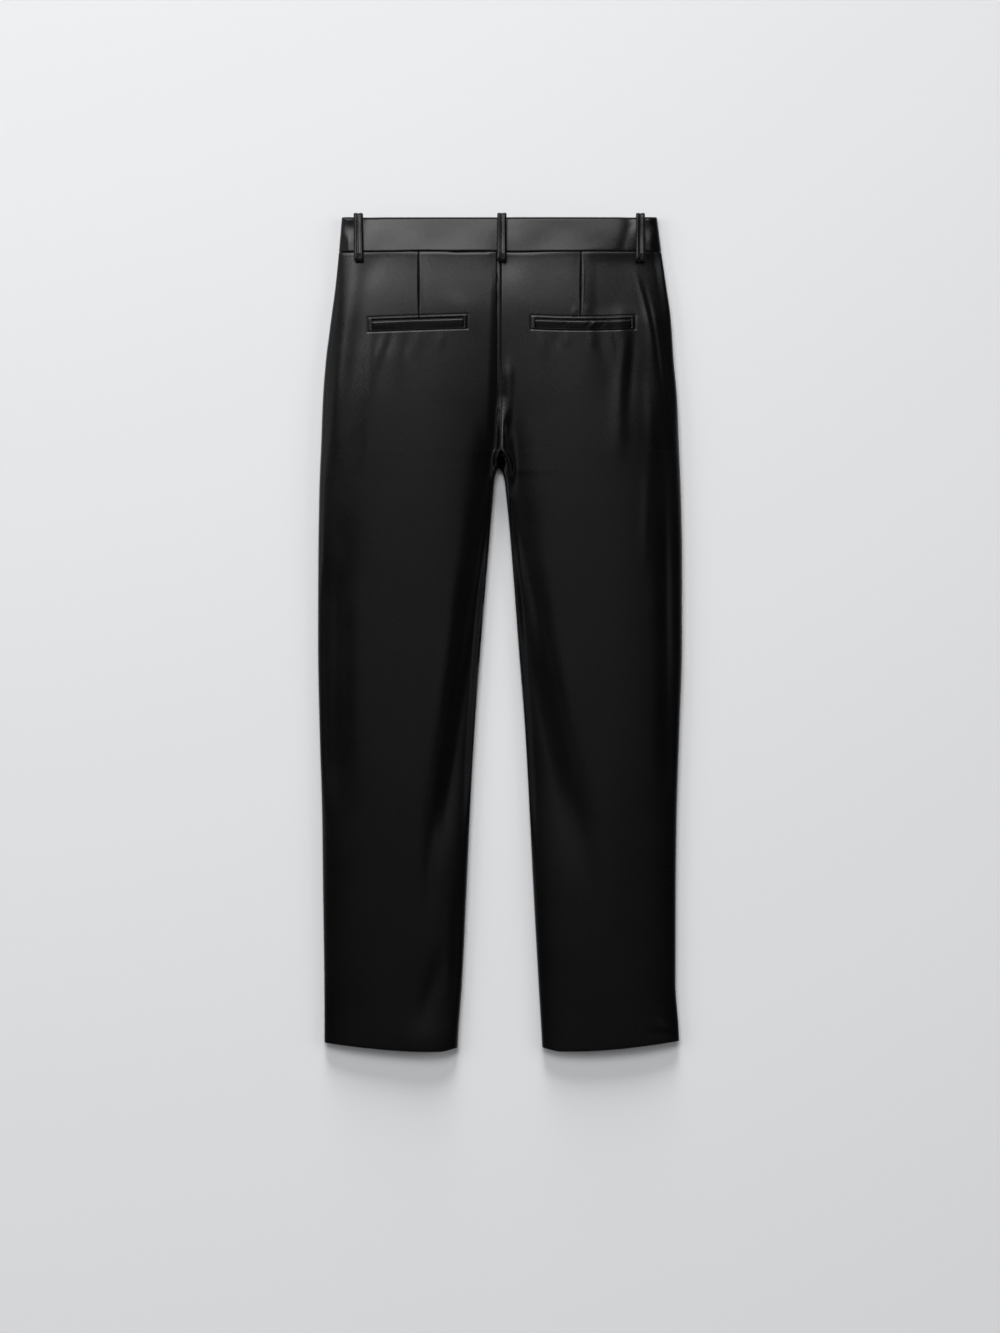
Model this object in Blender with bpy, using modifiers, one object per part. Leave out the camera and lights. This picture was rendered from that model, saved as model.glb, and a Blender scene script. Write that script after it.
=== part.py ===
# Faux leather trousers, laid flat on their front with the back side up.
#
# +Y points from the hems to the waist, +X to the viewer's right, +Z up. The origin is on the floor,
# under the middle of the garment. Lengths are in millimetres until sheetObject turns them into metres.
# "down" is the distance from the top of the waistband toward the hems, and "side" is -1 for the left
# leg as seen from above, +1 for the right.

import math
from collections import namedtuple

import bmesh
import bpy

MM = 0.001

# Cloth
PANEL_WALL = 1.2
BAND_WALL = 2.2
LOOP_WALL = 1.4
SEAM_GAP = 0.3
LIFT_GAP = 0.36

# Main sizes
TOP_Y = 487.9
BAND_DEPTH = 40.5
CENTRE_X = 1.0
CROTCH_DOWN = 273.0
FORK_DOWN = 297.0
FORK_X = -1.9
EDGE_HEIGHT = 5.6
FLANGE = 13.0
INNER_REACH = 21.0
LEG_LEAD = 6.0

# Outline of the garment and the height of its crown. The inner columns hold from the crotch down.
Section = namedtuple("Section", "down outer_left inner_left inner_right outer_right crown")
SECTIONS = [
    Section(0, -186.0, 1.0, 1.0, 184.2, 11.6),
    Section(40, -189.4, 1.0, 1.0, 189.2, 13.0),
    Section(80, -193.4, 1.0, 1.0, 195.0, 15.6),
    Section(120, -199.0, 1.0, 1.0, 200.4, 18.0),
    Section(170, -205.0, 1.0, 1.0, 204.0, 20.4),
    Section(215, -208.4, 1.0, 1.0, 208.0, 21.6),
    Section(273, -210.6, 1.0, 1.0, 210.2, 22.0),
    Section(285, -211.2, -2.9, 1.0, 210.8, 21.9),
    Section(297, -211.7, -4.6, 1.2, 211.3, 21.8),
    Section(305, -212.0, -6.4, 4.2, 211.6, 21.7),
    Section(332, -212.7, -8.6, 7.2, 212.5, 21.4),
    Section(400, -213.7, -14.2, 13.7, 213.8, 20.4),
    Section(500, -214.0, -22.5, 21.2, 213.7, 18.8),
    Section(600, -212.2, -29.8, 29.0, 210.6, 17.4),
    Section(700, -209.2, -35.4, 34.5, 207.4, 16.2),
    Section(800, -208.0, -39.9, 39.5, 206.2, 15.0),
    Section(900, -206.7, -44.8, 45.0, 206.0, 13.6),
    Section(960, -206.5, -49.0, 48.4, 209.6, 12.6),
    Section(985, -206.5, -50.0, 49.6, 210.6, 12.2),
]

# Depth of the centre back seam below the crown, as a share of the crown's height over the edges.
Valley = namedtuple("Valley", "down share")
VALLEYS = [
    Valley(0, 0.02),
    Valley(60, 0.05),
    Valley(120, 0.10),
    Valley(180, 0.24),
    Valley(230, 0.48),
    Valley(273, 0.70),
]

# How far the back panel's inner edge, the inseam, lies along the cloth from the leg's inner edge.
# Above zero it is on top of the leg, below zero it is rolled under.
Inseam = namedtuple("Inseam", "down left right")
INSEAMS = [
    Inseam(273, 0.3, 0.3),
    Inseam(280, 0.3, 4.4),
    Inseam(288, 0.3, 9.5),
    Inseam(297, 0.3, 11.3),
    Inseam(304, 0.3, 8.3),
    Inseam(332, -0.5, 6.9),
    Inseam(360, -3.0, 4.4),
    Inseam(400, -7.0, -0.5),
    Inseam(450, -11.5, -7.5),
    Inseam(520, -16.0, -14.5),
    Inseam(600, -19.0, -19.0),
    Inseam(985, -19.0, -19.0),
]

# The largest folds on the upper side: from one end to the other, how far out they reach, how high.
Fold = namedtuple("Fold", "x_from down_from x_to down_to half_width height")
FOLDS = [
    Fold(-14, 285, -34, 450, 13, -1.8),
    Fold(-34, 450, -70, 690, 16, -1.6),
    Fold(16, 285, 34, 450, 13, -1.8),
    Fold(34, 450, 88, 690, 17, -1.6),
    Fold(-184, 390, -186, 640, 15, -1.2),
    Fold(192, 250, 196, 640, 9, -1.0),
    Fold(180, 150, 192, 250, 9, 1.1),
    Fold(-170, 60, -190, 260, 11, 1.0),
    Fold(142, 140, 139, 250, 9, 1.0),
    Fold(10, 190, 8, 262, 6, 1.4),
]

# Hems: the outer corner, the lowest stretch and the inner corner of each leg.
Hem = namedtuple("Hem", "outer lowest inner")
HEMS = {-1: Hem(969.5, 980.1, 975.6), 1: Hem(967.5, 979.8, 975.4)}
HEM_LOW_SHARE = 0.80
HEM_BLEND = 150.0

# Profile of the upper side
PEAK_SHARE = 0.48
EDGE_POWER = 2.3
CURVE_WEIGHT = 38.0
PROFILE_STEPS = 36
SAMPLES = 160

# Trim
Loop = namedtuple("Loop", "x width")
BACK_LOOPS = {"left": Loop(-166.0, 11.0), "centre": Loop(1.9, 11.0), "right": Loop(164.4, 10.4)}
FRONT_LOOPS = {"left": Loop(-92.0, 11.0), "right": Loop(92.0, 11.0)}
LOOP_TOP = -4.2
LOOP_END = 53.0
LOOP_RISE = 5.3
LOOP_FOOT = 7.0
LOOP_RIDGE = 0.25
LOOP_CLEAR = 1.8
LOOP_TURN_STEPS = 4
LOOP_STRAP_STEPS = 6
FRONT_LOOP_ROWS = 4
FRONT_LOOP_TOP = 1.0
FRONT_LIFT = 1.9
FRONT_LIFT_REACH = 30.0

Welt = namedtuple("Welt", "x_from x_to top_outer top_inner depth bow")
WELTS = {-1: Welt(-150.5, -42.5, 123.6, 120.0, 10.4, 0.0), 1: Welt(40.5, 154.0, 121.0, 121.4, 9.6, 1.6)}
WELT_WALL = 1.2
WELT_COLUMNS = 10
WELT_ROWS = 2

ZIP_WIDTH = 22.0
ZIP_FROM = 46.0
ZIP_TO = 186.0
HOOK_WIDTH = 24.0
HOOK_DEPTH = 12.0
HOOK_FROM = 14.0
TRIM_WALL = 1.0

# Rows from the waist to the hem: each stretch and the number of rows in it.
Stretch = namedtuple("Stretch", "down_from down_to rows")
BACK_STRETCHES = [
    Stretch(BAND_DEPTH, 56, 1),
    Stretch(56, 231, 6),
    Stretch(231, CROTCH_DOWN, 3),
    Stretch(CROTCH_DOWN, FORK_DOWN, 3),
    Stretch(FORK_DOWN, 330, 3),
    Stretch(330, 480, 5),
    Stretch(480, 930, 8),
    Stretch(930, 980, 2),
]
BACK_COLUMNS = 26
# Places across the front's flat stretch, closer beside the loop that it lies on.
FRONT_SHARES = (0.0, 0.16, 0.27, 0.38, 0.44, 0.50, 0.56, 0.67, 0.84, 1.0)
BAND_COLUMNS = 40
ROLL_COLUMNS = 5
FORK_HALF_COLUMNS = 2
FORK_TOP_DOWN = 281.0
FORK_CLEAR = 8.0
FORK_SETBACK = 0.4
FORK_GAP = 0.8
FORK_RISE = 4.2
ROLL_SEAM_END = 460.0
ROLL_LEAST = 6.0
STRIP_END = 480.0
SEAM_STRIP = 2.0

COLOUR = (0.011, 0.011, 0.012, 1.0)
METAL_COLOUR = (0.45, 0.45, 0.46, 1.0)


def smoothStep(start, end, value):
    share = min(max((value - start) / (end - start), 0.0), 1.0)
    return share * share * (3.0 - 2.0 * share)


def slopesOf(places, values):
    # Tangents that keep a curve through the values from overshooting.
    steps = [(values[i + 1] - values[i]) / (places[i + 1] - places[i]) for i in range(len(values) - 1)]
    slopes = [steps[0]]
    for before, after in zip(steps, steps[1:]):
        slopes.append(2 * before * after / (before + after) if before * after > 0 else 0.0)
    slopes.append(steps[-1])
    return slopes


def valueAt(table, column, down):
    # A smooth curve through one column of a table.
    places = [row.down for row in table]
    values = [getattr(row, column) for row in table]
    slopes = slopesOf(places, values)
    down = min(max(down, places[0]), places[-1])
    i = max(k for k in range(len(places) - 1) if places[k] <= down)
    width = places[i + 1] - places[i]
    t = (down - places[i]) / width
    rise = (2 * t**3 - 3 * t**2 + 1) * values[i] + (3 * t**2 - 2 * t**3) * values[i + 1]
    bend = (t**3 - 2 * t**2 + t) * slopes[i] + (t**3 - t**2) * slopes[i + 1]
    return rise + width * bend


def sideName(side):
    return "left" if side < 0 else "right"


def outerEdge(side, down):
    return valueAt(SECTIONS, "outer_" + sideName(side), down)


def innerEdge(side, down):
    if down <= CROTCH_DOWN:
        return CENTRE_X
    return valueAt(SECTIONS, "inner_" + sideName(side), down)


def foldHeight(x, down):
    # The sum of the folds, each soft across and tapered toward its ends.
    total = 0.0
    for fold in FOLDS:
        runX = fold.x_to - fold.x_from
        runDown = fold.down_to - fold.down_from
        length = math.hypot(runX, runDown)
        along = ((x - fold.x_from) * runX + (down - fold.down_from) * runDown) / length
        across = ((x - fold.x_from) * runDown - (down - fold.down_from) * runX) / length
        beyond = max(-along, along - length, 0.0)
        near = (across / fold.half_width) ** 2 + (beyond / (3 * fold.half_width)) ** 2
        total += fold.height * math.exp(-near)
    return total


def legShare(down):
    # 0 in the seat, where both legs share one top, and 1 below the fork.
    return smoothStep(CROTCH_DOWN - LEG_LEAD, FORK_DOWN, down)


def topHeight(side, down, share):
    # Height of the cloth's middle layer at a share of the way from the inner to the outer edge.
    rise = valueAt(SECTIONS, "crown", down) - EDGE_HEIGHT
    if share > PEAK_SHARE:
        reach = (share - PEAK_SHARE) / (1 - PEAK_SHARE)
        lobe = max(1 - reach**EDGE_POWER, 0.0) ** (1 / EDGE_POWER)
    else:
        reach = (PEAK_SHARE - share) / PEAK_SHARE
        leg = max(1 - reach**EDGE_POWER, 0.0) ** (1 / EDGE_POWER)
        seat = 1 - valueAt(VALLEYS, "share", down) * reach**2
        lobe = seat + (leg - seat) * legShare(down)
    inner = innerEdge(side, down)
    x = inner + (outerEdge(side, down) - inner) * share
    return EDGE_HEIGHT + rise * lobe + foldHeight(x, down) * min(2 * lobe, 1.0) * smoothStep(0, 0.5, lobe)


Profile = namedtuple("Profile", "points lengths inner outer")


def pathLengths(points):
    lengths = [0.0]
    for before, after in zip(points, points[1:]):
        lengths.append(lengths[-1] + math.dist(before, after))
    return lengths


def profileAt(side, down, wall):
    # The cloth's middle layer across one leg, from the inner flange over the top to the outer flange,
    # as (x, z) points. In the seat it starts at the centre back seam instead.
    inner = innerEdge(side, down) + side * wall / 2 * legShare(down)
    outer = outerEdge(side, down) - side * wall / 2
    radius = EDGE_HEIGHT - wall / 2
    points = []
    if down > CROTCH_DOWN:
        points.append((inner + side * (radius + INNER_REACH), wall / 2))
        for step in range(PROFILE_STEPS // 2):
            turn = math.pi / 2 * step / (PROFILE_STEPS // 2)
            points.append((inner + side * radius * (1 - math.sin(turn)), EDGE_HEIGHT - radius * math.cos(turn)))
    innerIndex = len(points)
    for step in range(2 * PROFILE_STEPS + 1):
        turn = math.pi / 2 * (step / PROFILE_STEPS - 1)
        reach = abs(math.sin(turn)) ** (2 / EDGE_POWER)
        share = PEAK_SHARE * (1 - reach) if turn < 0 else PEAK_SHARE + (1 - PEAK_SHARE) * reach
        points.append((inner + (outer - inner) * share, topHeight(side, down, share)))
    outerIndex = len(points) - 1
    for step in range(1, PROFILE_STEPS // 2 + 1):
        turn = math.pi / 2 * step / (PROFILE_STEPS // 2)
        points.append((outer - side * radius * (1 - math.cos(turn)), EDGE_HEIGHT - radius * math.sin(turn)))
    points.append((outer - side * (radius + FLANGE), wall / 2))
    lengths = pathLengths(points)
    return Profile(points, lengths, lengths[innerIndex], lengths[outerIndex])


def pointAlong(profile, length):
    lengths = profile.lengths
    i = 0
    while i < len(lengths) - 2 and lengths[i + 1] < length:
        i += 1
    share = (length - lengths[i]) / max(lengths[i + 1] - lengths[i], 1e-9)
    before, after = profile.points[i], profile.points[i + 1]
    return before[0] + (after[0] - before[0]) * share, before[1] + (after[1] - before[1]) * share


def spread(profile, start, end, columns):
    # Points from one length to another along the profile, closer where the cloth turns.
    line = [pointAlong(profile, start + (end - start) * k / SAMPLES) for k in range(SAMPLES + 1)]
    headings = [math.atan2(b[1] - a[1], b[0] - a[0]) for a, b in zip(line, line[1:])]
    costs = [0.0]
    for k in range(SAMPLES):
        turn = headings[min(k + 1, SAMPLES - 1)] - headings[k]
        turn = abs(math.atan2(math.sin(turn), math.cos(turn)))
        costs.append(costs[-1] + math.dist(line[k], line[k + 1]) + CURVE_WEIGHT * turn)
    chosen = []
    k = 0
    for column in range(columns + 1):
        aim = costs[-1] * column / columns
        while k < SAMPLES - 1 and costs[k + 1] < aim:
            k += 1
        share = (aim - costs[k]) / max(costs[k + 1] - costs[k], 1e-9)
        share = min(max(share, 0.0), 1.0)
        chosen.append((line[k][0] + (line[k + 1][0] - line[k][0]) * share,
                       line[k][1] + (line[k + 1][1] - line[k][1]) * share))
    return chosen


def hemDown(side, x):
    # The hem's place at one x: low toward the inner leg, with both corners lifted.
    hem = HEMS[side]
    inner = valueAt(SECTIONS, "inner_" + sideName(side), 970)
    outer = outerEdge(side, 970)
    share = min(max((x - outer) / (inner - outer), 0.0), 1.0)
    drop = math.sin(math.pi / 2 * min(share / HEM_LOW_SHARE, 1.0))
    lift = (hem.lowest - hem.inner) * smoothStep(0.90, 1.0, share)
    return hem.outer + (hem.lowest - hem.outer) * drop - lift


def rowsOf(stretches):
    rows = [stretches[0].down_from]
    for stretch in stretches:
        step = (stretch.down_to - stretch.down_from) / stretch.rows
        rows += [stretch.down_from + step * (k + 1) for k in range(stretch.rows)]
    return rows


def place(side, down, point):
    # A point of a row in garment space. Rows bend to the hem's curve as they near it.
    low = BACK_STRETCHES[-1].down_to
    bend = max(0.0, 1 - (low - down) / HEM_BLEND)
    down += (hemDown(side, point[0]) - low) * bend * bend
    return point[0], TOP_Y - down, point[1]


def inseamLength(side, profile, down):
    return profile.inner + valueAt(INSEAMS, sideName(side), down)


def seamSetback(profile, start, down):
    # Half the seam's gap, and more where the two walls meet at an angle or on the tight edge.
    if down >= FORK_DOWN:
        return SEAM_GAP if down < ROLL_SEAM_END else SEAM_GAP / 2
    first, second = pointAlong(profile, start), pointAlong(profile, start + SEAM_STRIP)
    return SEAM_GAP / 2 + PANEL_WALL / 2 * abs(second[1] - first[1]) / math.dist(first, second)


def backRow(side, down):
    profile = profileAt(side, down, PANEL_WALL)
    start = 0.0
    if down > CROTCH_DOWN:
        start = max(inseamLength(side, profile, down), 0.0)
    start += seamSetback(profile, start, down)
    end = profile.lengths[-1] - SEAM_GAP / 2
    return [pointAlong(profile, start)] + spread(profile, start + SEAM_STRIP, end, BACK_COLUMNS - 1)


def backPanel(side):
    grid = []
    for down in rowsOf(BACK_STRETCHES):
        start = down + SEAM_GAP if down == BAND_DEPTH else down
        grid.append([place(side, start, point) for point in backRow(side, start)])
    return grid


def loopLift(x, down):
    # The front lies over its belt loops, which lie on the floor.
    lift = 0.0
    for loop in FRONT_LOOPS.values():
        beside = max(abs(x - loop.x) - loop.width / 2 - LOOP_CLEAR, 0.0) / FRONT_LIFT_REACH
        beyond = max(down - LOOP_END - LOOP_CLEAR, 0.0) / FRONT_LIFT_REACH
        lift += FRONT_LIFT * (1 - smoothStep(0.0, 1.0, math.hypot(beside, beyond)))
    return lift


def frontOuterX(side, down, wall):
    profile = profileAt(side, down, wall)
    return profile.points[-1][0] - side * SEAM_GAP / 2


def rollEnds(side, profile, down):
    # The front's roll along one leg: its lengths at the inseam and where it lies flat on the floor.
    start = inseamLength(side, profile, down)
    start -= seamSetback(profile, start, down)
    foot = min(profile.inner - math.pi / 2 * (EDGE_HEIGHT - PANEL_WALL / 2), start - ROLL_LEAST)
    return start, foot


def forkSection(side, down):
    # The front panel's part of one leg's profile: from the inseam, round the edge, nearly to the floor.
    profile = profileAt(side, down, PANEL_WALL)
    start, foot = rollEnds(side, profile, down)
    foot += FORK_GAP
    roll = []
    for column in range(ROLL_COLUMNS + 1):
        roll.append(pointAlong(profile, start + (foot - start) * column / ROLL_COLUMNS))
    return roll


def footOf(side, down):
    # Where the flat front starts beside the roll.
    profile = profileAt(side, down, PANEL_WALL)
    return pointAlong(profile, rollEnds(side, profile, down)[1])[0]


def flatStretch(side, down, fromX, wall):
    toX = frontOuterX(side, down, wall)
    return [fromX + (toX - fromX) * share for share in FRONT_SHARES]


def flatRow(side, down):
    return [(x, PANEL_WALL / 2) for x in flatStretch(side, down, footOf(side, down), PANEL_WALL)]


def frontThigh(side):
    # Beside the fork's strip only the flat stretch belongs to the panel.
    rows = [row for row in rowsOf(BACK_STRETCHES) if FORK_DOWN <= row <= STRIP_END]
    return [[place(side, down, point) for point in flatRow(side, down)] for down in rows]


def frontLeg(side):
    # Below the strip the panel reaches from the inseam to the side seam.
    grid = []
    for down in [row for row in rowsOf(BACK_STRETCHES) if row >= STRIP_END]:
        line = forkSection(side, down)[:-1] + flatRow(side, down)
        grid.append([place(side, down, point) for point in line])
    return grid


def forkStrip(side):
    # The strip that rolls up over the leg's inner edge, from the fork to where the inseam goes under.
    grid = []
    for down in [row for row in rowsOf(BACK_STRETCHES) if FORK_DOWN <= row <= STRIP_END]:
        end = down - SEAM_GAP if down == STRIP_END else down
        grid.append([place(side, end, point) for point in forkSection(side, end)])
    return grid


def centreFront(side, down):
    # The centre front seam drifts to the middle of the fork.
    return CENTRE_X + (FORK_X - CENTRE_X) * smoothStep(200, FORK_DOWN - 5, down) + side * SEAM_GAP / 2


def forkFoot(side, column):
    # Where the fork's fold meets the floor, from the leg's roll (0) to the centre front seam.
    foot = footOf(side, FORK_DOWN)
    share = column / FORK_HALF_COLUMNS
    centre = centreFront(side, FORK_DOWN)
    radius = EDGE_HEIGHT - PANEL_WALL / 2
    return foot + (centre - foot) * share, FORK_DOWN - radius * math.sin(math.pi / 2 * share)


def frontSeat(side):
    # The flat front from the waist seam to the fork, centre front to side seam.
    grid = []
    rows = [row for row in rowsOf(BACK_STRETCHES) if row < FORK_DOWN - FORK_CLEAR] + [FORK_DOWN]
    footX = forkFoot(side, 0)[0]
    for down in rows:
        start = down + SEAM_GAP if down == BAND_DEPTH else down
        line = []
        for column in range(FORK_HALF_COLUMNS, 0, -1):
            x, edge = forkFoot(side, column)
            if down < FORK_DOWN:
                centre = centreFront(side, down)
                x, edge = footX + (centre - footX) * column / FORK_HALF_COLUMNS, start
            line.append((x, edge))
        line += [(x, start) for x in flatStretch(side, start, footX, PANEL_WALL)]
        grid.append([(x, TOP_Y - at, PANEL_WALL / 2 + loopLift(x, at)) for x, at in line])
    return grid


def forkProfile():
    # The front's cloth along its centre seam, as (down, z): from the floor round the fork's fold and
    # back over it to the crotch point.
    radius = EDGE_HEIGHT - PANEL_WALL / 2
    points = []
    for step in range(PROFILE_STEPS // 2):
        turn = math.pi / 2 * step / (PROFILE_STEPS // 2)
        points.append((FORK_DOWN - radius * (1 - math.sin(turn)), EDGE_HEIGHT - radius * math.cos(turn)))
    fold = pathLengths(points)[-1]
    for step in range(PROFILE_STEPS + 1):
        reach = math.cos(math.pi / 2 * step / PROFILE_STEPS) ** (2 / EDGE_POWER)
        lobe = (1 - reach**EDGE_POWER) ** (1 / EDGE_POWER)
        points.append((FORK_DOWN - (FORK_DOWN - FORK_TOP_DOWN) * (1 - reach), EDGE_HEIGHT + FORK_RISE * lobe))
    return Profile(points, pathLengths(points), 0.0, fold)


def forkLine(side, near, along, slack):
    # One row of the fork's turn, from the leg's side of it to the centre front seam.
    profile = forkProfile()
    down, z = pointAlong(profile, along)
    centre = FORK_X
    if along > profile.outer:
        centre += (CENTRE_X - FORK_X) * (FORK_DOWN - down) / (FORK_DOWN - CROTCH_DOWN)
    centre += side * (SEAM_GAP / 2 + slack)
    line = []
    for column in range(FORK_HALF_COLUMNS + 1):
        share = column / FORK_HALF_COLUMNS
        ease = math.sin(math.pi / 2 * share)
        at = near[1] + (down - near[1]) * ease
        line.append((near[0] + (centre - near[0]) * share, TOP_Y - at, near[2] + (z - near[2]) * share))
    return line


def forkTurn(side):
    # The front's cloth folded up round the fork and back to the crotch point, between both inseams.
    roll = list(reversed(forkSection(side, FORK_DOWN)))
    lengths = pathLengths(roll)
    grid = []
    for step, (x, z) in enumerate(roll):
        slack = FORK_SETBACK * step / ROLL_COLUMNS
        grid.append(forkLine(side, (x, FORK_DOWN, z), FORK_GAP + lengths[step], slack))
    rows = [row for row in rowsOf(BACK_STRETCHES) if FORK_TOP_DOWN <= row < FORK_DOWN]
    total = forkProfile().lengths[-1]
    for step, down in enumerate(reversed(rows), 1):
        profile = profileAt(side, down, PANEL_WALL)
        start = inseamLength(side, profile, down)
        x, z = pointAlong(profile, start)
        near = (x - side * seamSetback(profile, start, down), down, z)
        along = lengths[-1] + (total - lengths[-1]) * step / len(rows)
        grid.append(forkLine(side, near, along, FORK_SETBACK))
    return grid


def bandBack():
    grid = []
    for down in (0.0, BAND_DEPTH / 2, BAND_DEPTH):
        halves = {}
        for side in (-1, 1):
            profile = profileAt(side, down, BAND_WALL)
            halves[side] = spread(profile, 0.0, profile.lengths[-1] - SEAM_GAP / 2, BAND_COLUMNS // 2)
        line = list(reversed(halves[-1])) + halves[1][1:]
        grid.append([(x, TOP_Y - down, z) for x, z in line])
    return grid


def bandFront(side):
    grid = []
    for down in (0.0, BAND_DEPTH / 2, BAND_DEPTH):
        line = flatStretch(side, down, CENTRE_X + side * SEAM_GAP / 2, BAND_WALL)
        grid.append([(x, TOP_Y - down, BAND_WALL / 2 + loopLift(x, down)) for x in line])
    return grid


def topAt(side, x, down):
    # Height of the back's middle layer at one place.
    inner = innerEdge(side, down)
    share = (x - inner) / (outerEdge(side, down) - inner)
    return topHeight(side, down, min(max(share, 0.0), 1.0))


def raised(x, down, height):
    # A point this far above the back's middle layer, along its normal.
    side = -1 if x < CENTRE_X else 1
    step = 1.0
    middle = topAt(side, x, down)
    slopeX = (topAt(side, x + step, down) - topAt(side, x - step, down)) / (2 * step)
    slopeDown = (topAt(side, x, down + step) - topAt(side, x, down - step)) / (2 * step)
    size = math.sqrt(1 + slopeX**2 + slopeDown**2)
    return x - slopeX / size * height, TOP_Y - down + slopeDown / size * height, middle + height / size


def pocketWelt(side):
    welt = WELTS[side]
    outerX, innerX = (welt.x_from, welt.x_to) if side < 0 else (welt.x_to, welt.x_from)
    height = PANEL_WALL / 2 + LIFT_GAP + WELT_WALL / 2
    grid = []
    for row in range(WELT_ROWS + 1):
        line = []
        for column in range(WELT_COLUMNS + 1):
            share = column / WELT_COLUMNS
            x = outerX + (innerX - outerX) * share
            top = welt.top_outer + (welt.top_inner - welt.top_outer) * share
            top += welt.bow * 4 * share * (1 - share)
            line.append(raised(x, top + welt.depth * row / WELT_ROWS, height))
        grid.append(line)
    return grid


def loopPath():
    # (down, height over what it lies on) along a back belt loop: the top foot, the fold above the
    # band, the strap, the fold below and the bottom foot.
    low = LIFT_GAP + LOOP_WALL / 2
    high = low + LOOP_RISE
    radius = (high - low) / 2
    top = LOOP_TOP + LOOP_WALL / 2
    bottom = LOOP_END - LOOP_WALL / 2
    path = [(LOOP_TOP + LOOP_FOOT + radius, low), (LOOP_TOP + radius + LOOP_CLEAR, low)]
    turns = [math.pi * step / LOOP_TURN_STEPS for step in range(LOOP_TURN_STEPS + 1)]
    for turn in turns:
        path.append((top + radius * (1 - math.sin(turn)), low + radius * (1 - math.cos(turn))))
    for step in range(1, LOOP_STRAP_STEPS):
        path.append((top + radius + (bottom - top - 2 * radius) * step / LOOP_STRAP_STEPS, high))
    for turn in turns:
        path.append((bottom - radius * (1 - math.sin(turn)), high - radius * (1 - math.cos(turn))))
    path += [(LOOP_END - radius - LOOP_CLEAR, low), (LOOP_END - LOOP_FOOT - radius, low)]
    return path


def beltLoop(loop):
    # Level across, over a straight line that clears both the band and the panel below it.
    faces = []
    for down in (0.0, LOOP_END):
        edges = [loop.x - loop.width / 2, loop.x, loop.x + loop.width / 2]
        faces.append(max(topAt(-1 if x < CENTRE_X else 1, x, down) for x in edges) + BAND_WALL / 2)
    grid = []
    for down, height in loopPath():
        face = faces[0] + (faces[1] - faces[0]) * down / LOOP_END
        line = []
        for across, ridge in ((-0.5, 0.0), (0.0, LOOP_RIDGE), (0.5, 0.0)):
            line.append((loop.x + loop.width * across, TOP_Y - down, face + height + ridge))
        grid.append(line)
    return grid


def frontLoop(loop):
    grid = []
    for step in range(FRONT_LOOP_ROWS + 1):
        down = FRONT_LOOP_TOP + (LOOP_END - FRONT_LOOP_TOP) * step / FRONT_LOOP_ROWS
        grid.append([(loop.x + loop.width * across, TOP_Y - down, LOOP_WALL / 2) for across in (-0.5, 0.0, 0.5)])
    return grid


def flatStrip(width, start, end, height):
    grid = []
    for down in (start, end):
        grid.append([(CENTRE_X + width * across, TOP_Y - down, height) for across in (-0.5, 0.5)])
    return grid


def material(name, colour, roughness, metallic):
    made = bpy.data.materials.new(name)
    made.use_nodes = True
    shader = made.node_tree.nodes["Principled BSDF"]
    shader.inputs["Base Color"].default_value = colour
    shader.inputs["Roughness"].default_value = roughness
    shader.inputs["Metallic"].default_value = metallic
    made.diffuse_color = colour
    return made


def sheetObject(name, grids, wall, collection, finish):
    # One piece of cloth: its grids joined where they share an edge, then given its wall.
    build = bmesh.new()
    for grid in grids:
        rows = [[build.verts.new([value * MM for value in point]) for point in line] for line in grid]
        for above, below in zip(rows, rows[1:]):
            for k in range(len(above) - 1):
                build.faces.new((above[k], above[k + 1], below[k + 1], below[k]))
    bmesh.ops.remove_doubles(build, verts=build.verts, dist=0.00002)
    bmesh.ops.recalc_face_normals(build, faces=build.faces)
    mesh = bpy.data.meshes.new(name)
    build.to_mesh(mesh)
    build.free()
    mesh.shade_smooth()
    mesh.materials.append(finish)
    piece = bpy.data.objects.new(name, mesh)
    collection.objects.link(piece)
    solidify = piece.modifiers.new("Wall", "SOLIDIFY")
    solidify.thickness = wall * MM
    solidify.offset = 0.0
    solidify.use_even_offset = True
    solidify.use_quality_normals = True
    return piece


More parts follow.
